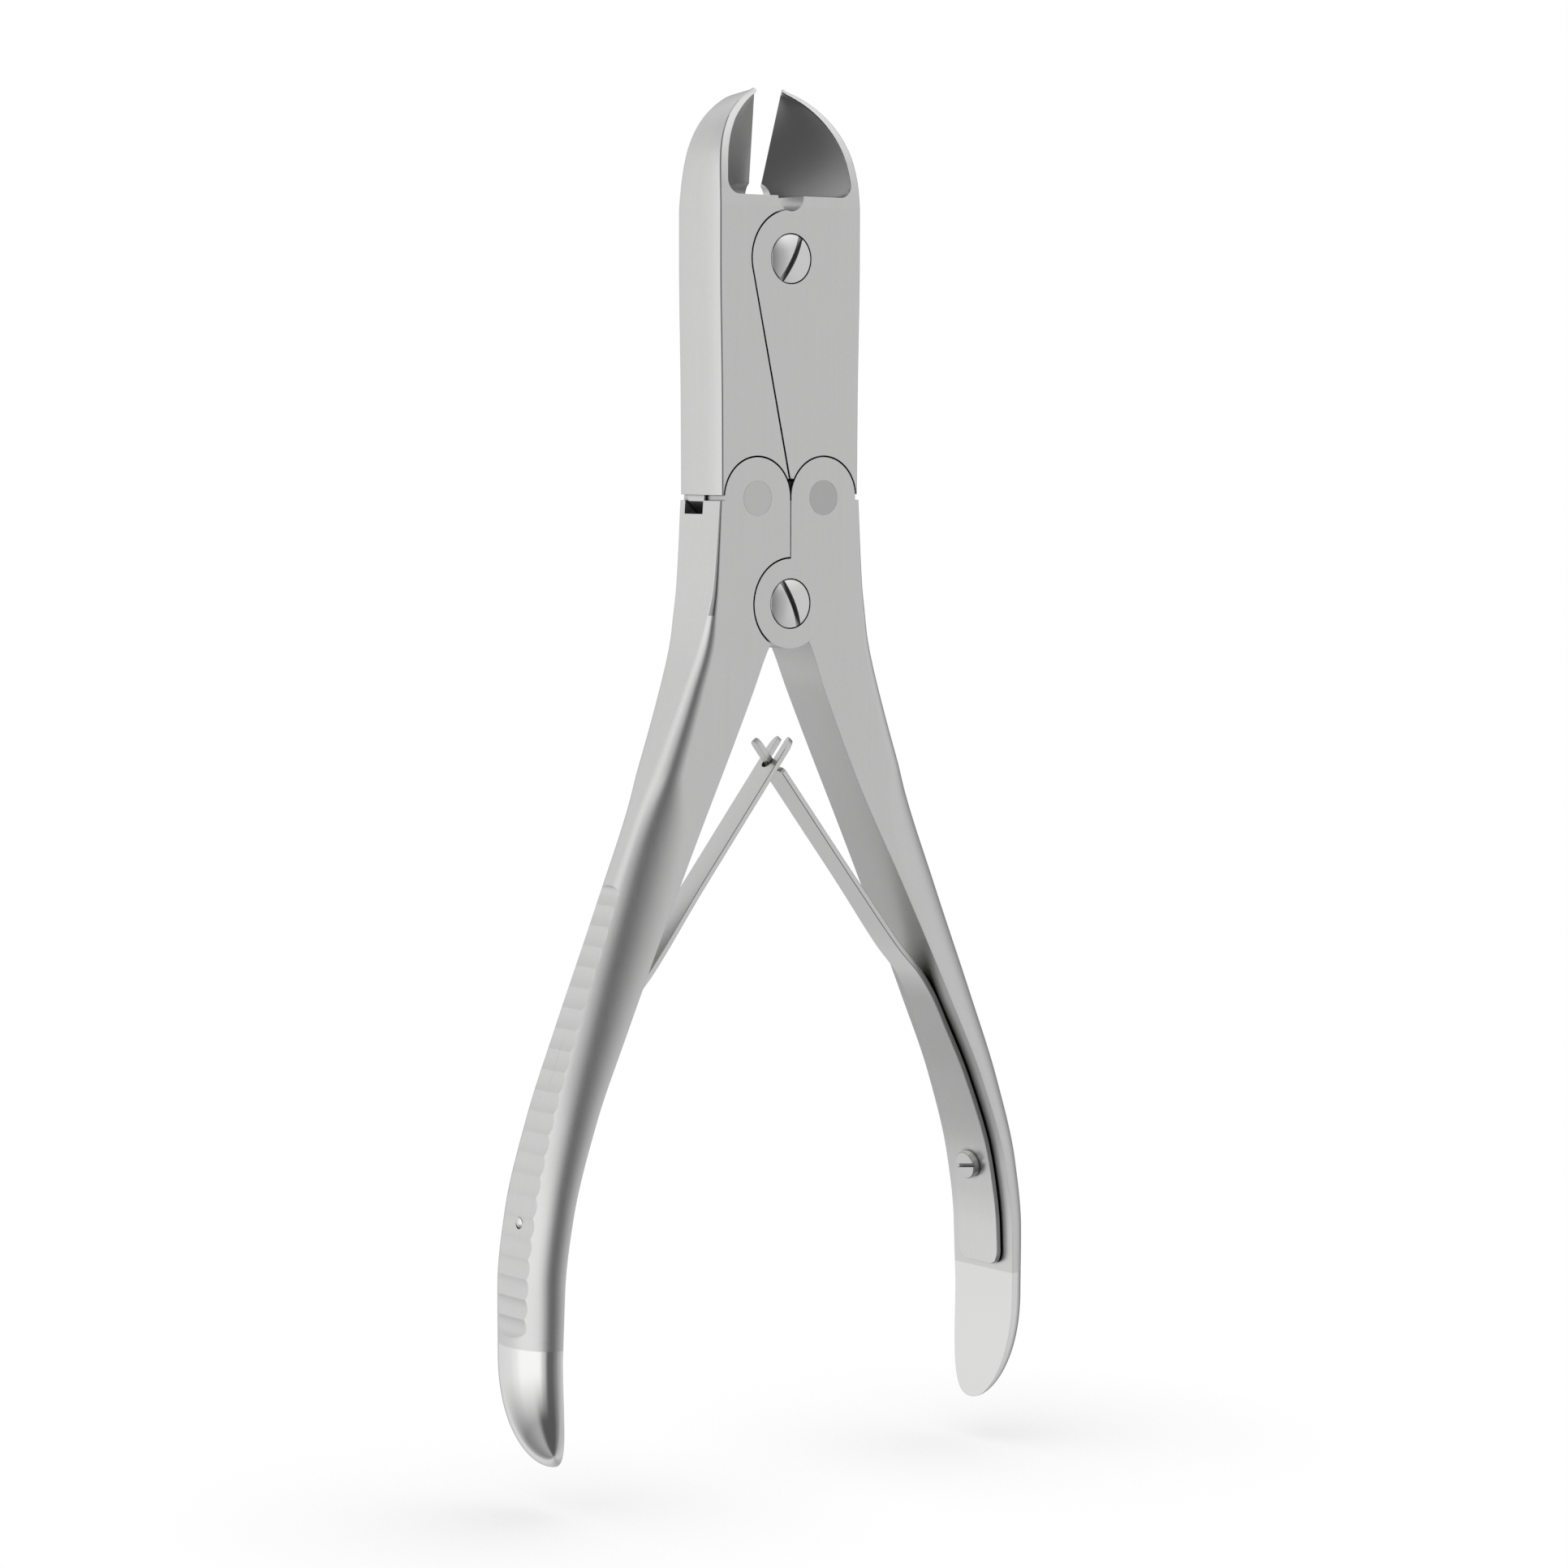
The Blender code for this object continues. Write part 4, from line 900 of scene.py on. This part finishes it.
def steel(name, grey, roughness, grain=1.0, polish_below=None):
    """Blasted or polished steel with softened edges, and painted shade darkening it where pieces meet."""
    material = bpy.data.materials.new(name)
    material.use_nodes = True
    n = Nodes(material.node_tree)
    shader = material.node_tree.nodes["Principled BSDF"]
    shader.inputs["Metallic"].default_value = 1.0
    place = n.add("ShaderNodeTexCoord").outputs["Object"]
    swing, height = steel_noise(n, place, grain)
    rough = n.math("ADD", n.math("MULTIPLY", swing, 0.5), roughness)
    shade = n.math("MULTIPLY", n.math("ADD", swing, 1.0), grey)
    bump = n.add("ShaderNodeBump")
    bump.inputs["Strength"].default_value = BUMP_STRENGTH * grain
    bump.inputs["Distance"].default_value = 0.02 * MM
    n.link(height, bump.inputs["Height"])
    if polish_below is not None:
        mask, keep = polish_mask(n, place, polish_below)
        rough = n.math("ADD", n.math("MULTIPLY", rough, keep), n.math("MULTIPLY", mask, POLISH_ROUGHNESS))
        shade = n.math("ADD", n.math("MULTIPLY", shade, keep), n.math("MULTIPLY", mask, grey * POLISH_LIFT))
        n.link(n.math("MULTIPLY", keep, BUMP_STRENGTH * grain), bump.inputs["Strength"])
    # painted shade: the base colour darkens in seams and where pieces meet
    shade = n.math("MULTIPLY", shade, painted_contact_shade(n))
    soft = n.add("ShaderNodeBevel", samples=4)
    soft.inputs["Radius"].default_value = EDGE_SOFTNESS
    n.link(soft.outputs["Normal"], bump.inputs["Normal"])
    colour = n.add("ShaderNodeCombineColor")
    for channel, tint in (("Red", 1.0), ("Green", 1.0), ("Blue", 0.995)):
        n.link(n.math("MULTIPLY", shade, tint), colour.inputs[channel])
    n.link(colour.outputs["Color"], shader.inputs["Base Color"])
    n.link(rough, shader.inputs["Roughness"])
    n.link(bump.outputs["Normal"], shader.inputs["Normal"])
    return material


# ---- studio --------------------------------------------------------------------------------
def ramp(n, value, stops):
    """Smooth grey curve over -180 to 180 degrees."""
    node = n.add("ShaderNodeValToRGB")
    node.color_ramp.interpolation = "EASE"
    elements = node.color_ramp.elements
    while len(elements) < len(stops):
        elements.new(0.5)
    for element, (angle, grey) in zip(elements, stops):
        element.position = (angle + 180.0) / 360.0
    for element, (angle, grey) in zip(elements, stops):
        element.color = (grey, grey, grey, 1.0)
    n.link(value, node.inputs["Fac"])
    return node.outputs["Color"]


def studio_world():
    """Light tent: a bright left side, a dark opening round the camera and a dim right rear."""
    world = bpy.data.worlds.new("studio")
    bpy.context.scene.world = world
    world.use_nodes = True
    n = Nodes(world.node_tree)
    world.node_tree.nodes.clear()
    split = n.add("ShaderNodeSeparateXYZ")
    n.link(n.add("ShaderNodeTexCoord").outputs["Generated"], split.inputs["Vector"])
    x, y, z = split.outputs
    azimuth = n.math("ARCTAN2", n.math("MULTIPLY", x, -1.0), n.math("MULTIPLY", y, -1.0))
    turn = n.math("ADD", n.math("DIVIDE", azimuth, 2 * math.pi), 0.5)
    walls = ramp(n, turn, WALL_LIGHT)
    is_above = n.math("GREATER_THAN", z, 0.0)
    away = n.mix(is_above, ramp(n, turn, LOW_LIGHT), ramp(n, turn, HIGH_LIGHT))
    height = n.math("ABSOLUTE", z)
    fade = n.math("MULTIPLY", n.math("SUBTRACT", height, WALL_TOP), WALL_FADE, clamp=True)
    mixed = n.mix(fade, walls, away)
    top = n.math("MULTIPLY", n.math("SUBTRACT", z, CEILING_FROM), CEILING_FADE, clamp=True)
    light = n.add("ShaderNodeBackground")
    n.link(n.mix(top, mixed, (1.0, 1.0, 1.0, 1.0)), light.inputs["Color"])
    seen = n.add("ShaderNodeBackground")
    seen.inputs["Color"].default_value = (1.0, 1.0, 1.0, 1.0)
    choice = n.add("ShaderNodeMixShader")
    n.link(n.add("ShaderNodeLightPath").outputs["Is Camera Ray"], choice.inputs["Fac"])
    n.link(light.outputs[0], choice.inputs[1])
    n.link(seen.outputs[0], choice.inputs[2])
    n.link(choice.outputs[0], n.add("ShaderNodeOutputWorld").inputs["Surface"])


def studio_floor(height):
    """Wide pale floor; to the camera it glows, with a painted shadow that darkens it a little under the
    tool.
    """
    bm = bmesh.new()
    bmesh.ops.create_grid(bm, x_segments=1, y_segments=1, size=4.0)
    floor = mesh_object("floor", bm)
    floor.location.z = height
    floor.visible_glossy = False     # the steel mirrors the tent, not the floor
    material = bpy.data.materials.new("pale_floor")
    material.use_nodes = True
    n = Nodes(material.node_tree)
    output = material.node_tree.nodes["Material Output"]
    diffuse = material.node_tree.nodes["Principled BSDF"]
    diffuse.inputs["Base Color"].default_value = (FLOOR_GREY, FLOOR_GREY, FLOOR_GREY, 1.0)
    diffuse.inputs["Roughness"].default_value = 0.9
    # painted shadow: the camera sees the floor's glow darkened by occlusion under the tool
    corner = n.add("ShaderNodeAmbientOcclusion", samples=8)
    corner.inputs["Distance"].default_value = FLOOR_PAINTED_SHADOW_REACH
    glow = n.add("ShaderNodeEmission")
    n.link(corner.outputs["Color"], glow.inputs["Color"])
    choice = n.add("ShaderNodeMixShader")
    n.link(n.add("ShaderNodeLightPath").outputs["Is Camera Ray"], choice.inputs["Fac"])
    n.link(diffuse.outputs[0], choice.inputs[1])
    n.link(glow.outputs[0], choice.inputs[2])
    n.link(choice.outputs[0], output.inputs["Surface"])
    floor.data.materials.append(material)


def make_camera():
    """Camera to the left of the front, slightly above, with a long lens and a slight roll."""
    azimuth, down, roll = (math.radians(angle) for angle in CAMERA_ANGLES)
    ahead = Vector((math.sin(azimuth) * math.cos(down), math.cos(azimuth) * math.cos(down), -math.sin(down)))
    right = Vector((math.cos(azimuth), -math.sin(azimuth), 0.0))
    up = right.cross(ahead)
    right, up = (right * math.cos(roll) + up * math.sin(roll), up * math.cos(roll) - right * math.sin(roll))
    target = Vector((CAMERA_TARGET[0], 0.0, CAMERA_TARGET[1] + LIFT))
    data = bpy.data.cameras.new("camera")
    data.sensor_width = 36.0
    data.lens = data.sensor_width / 2 * CAMERA_DISTANCE / HALF_FRAME
    data.clip_start, data.clip_end = 0.01, 20.0
    camera = bpy.data.objects.new("camera", data)
    bpy.context.scene.collection.objects.link(camera)
    matrix = Matrix((right, up, -ahead)).transposed().to_4x4()
    camera.matrix_world = Matrix.Translation(target - ahead * CAMERA_DISTANCE) @ matrix
    bpy.context.scene.camera = camera


# ---- putting it together -------------------------------------------------------------------
def finish_piece(obj, material, *nodes):
    """Material and shading of a finished piece, and hiding the CAD nodes it stands for."""
    obj.data.materials.append(material)
    obj.data.shade_smooth()
    obj.data.set_sharp_from_angle(angle=SHARP_ANGLE)
    even = obj.modifiers.new("even_normals", "WEIGHTED_NORMAL")
    even.keep_sharp = True
    even.weight = 50
    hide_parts(*nodes)


def lift(obj):
    obj.data.transform(Matrix.Translation((0, 0, LIFT)))


def pivot_slot_test(height, slot_angle):
    """Test for the faces inside a pivot screw's slot."""
    direction = math.pi / 2 - slot_angle

    def inside(point, _normal):
        x, z = point.x, point.z - height
        across = z * math.cos(direction) - x * math.sin(direction)
        radius = math.hypot(x, z)
        above_face = -HALF_DEPTH - point.y
        dome = HEAD_DOME * (1 - (radius / HEAD_RADIUS) ** 2)
        in_slot = abs(across) < SLOT_WIDTH / 2 + HAIRLINE and radius < HEAD_RADIUS
        return in_slot and HEAD_DOME - SLOT_DEPTH - WELD < above_face < dome - 2 * HAIRLINE
    return inside


def spring_slot_test(side):
    """Test for the faces inside a spring screw's slot."""
    start, out = spring_head(side)
    low, high = SPRING_HEAD_HEIGHT - SPRING_SLOT_DEPTH - WELD, SPRING_HEAD_HEIGHT - SLIVER

    def inside(point, _normal):
        height = (point - start).dot(out)
        radius = (point - start - out * height).length
        return low < height < high and radius < SLOT_REACH * SPRING_HEAD_RADIUS
    return inside


def build_side(side, metals):
    name = SIDE_NAME[side]
    handle = make_handle(side)
    handle_metal = steel("handle_%s_satin" % name, SATIN_GREY, SATIN_ROUGHNESS,
                         polish_below=LIFT + POLISH_Z[side])
    finish_piece(handle, handle_metal, "handle_" + name)
    # painted dark reflection: a darker steel along the handle's front corner near its top
    paint(handle, metals["edge"], lambda point, normal: on_handle_corner(side, point, normal))
    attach(handle, "handle_" + name)
    jaw = make_jaw(side)
    finish_piece(jaw, metals["satin"], "jaw_" + name)
    # the hollow ground face: a smoother ground finish, its darker grey partly painted shade
    paint(jaw, metals["ground"], lambda point, normal: on_recess(side, point))
    # painted dark reflection: a darker steel along the jaw's rounded front corner
    paint(jaw, metals["edge"], lambda point, normal: on_front_corner(side, point, normal))
    # painted shade: the relief's bored wall gets a near-black steel
    paint(jaw, metals["relief"], lambda point, normal: on_relief(point))
    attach(jaw, "jaw_" + name)
    pin = make_link_pin(side)
    finish_piece(pin, metals["pin_" + name], "link_pin_" + name)
    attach(pin, "handle_" + name)
    screw = make_spring_screw(side)
    finish_piece(screw, metals["bright"], "spring_screw_" + name)
    # painted shade: the faces inside the spring screw's slot get a dark steel
    paint(screw, metals["slot"], spring_slot_test(side))
    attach(screw, "handle_" + name)
    leaf = make_leaf(side)
    finish_piece(leaf, metals["leaf"], "spring_%s_clamped" % name, "spring_%s_free" % name)
    for piece in (handle, jaw, pin, screw, leaf):
        lift(piece)
    bend_from = [p for p in leaf_path() if p[1] >= BEND_FROM_Z][0]
    bend_to = [p for p in leaf_path() if p[1] >= BEND_TO_Z][0]
    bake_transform(leaf)


def make_metals():
    """All the finishes except the handles', which depend on where their polish starts."""
    return {"satin": steel("jaw_satin", SATIN_GREY, SATIN_ROUGHNESS),
            # ground finish of the recess, darker partly as painted shade
            "ground": steel("recess_ground_and_shade", 0.46, 0.22, grain=0.6),
            # painted shade inside the relief
            "relief": steel("relief_painted_shade", 0.17, 0.4),
            # painted dark reflection for the corner lines
            "edge": steel("edge_painted_dark_reflection", 0.3, 0.3, grain=0.5),
            "bright": steel("screw_polish", 0.7, 0.2, grain=0.3),
            # painted shade inside the screw slots
            "slot": steel("slot_painted_shade", 0.42, 0.5, grain=0.5),
            "leaf": steel("leaf_satin", 0.66, 0.3),
            "pin_left": steel("pin_left_satin", 0.585, 0.35),
            "pin_right": steel("pin_right_satin", 0.5, 0.36)}


def main():
    bpy.context.scene.view_settings.view_transform = "Standard"
    metals = make_metals()
    for side in (LEFT, RIGHT):
        build_side(side, metals)
    for node, body, height, angle in (("jaw_pivot_screw", "jaw_left", JAW_PIVOT_Z, JAW_SLOT_ANGLE),
                                      ("handle_pivot_screw", "handle_left", 0.0, HANDLE_SLOT_ANGLE)):
        screw = make_pivot_screw(node + "_finished", height, angle)
        finish_piece(screw, metals["bright"], node)
        # painted shade: the faces inside the pivot screw's slot get a dark steel
        paint(screw, metals["slot"], pivot_slot_test(height, angle))
        lift(screw)
        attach(screw, body)
    studio_world()
    studio_floor(FLOOR_Z)
    make_camera()


main()
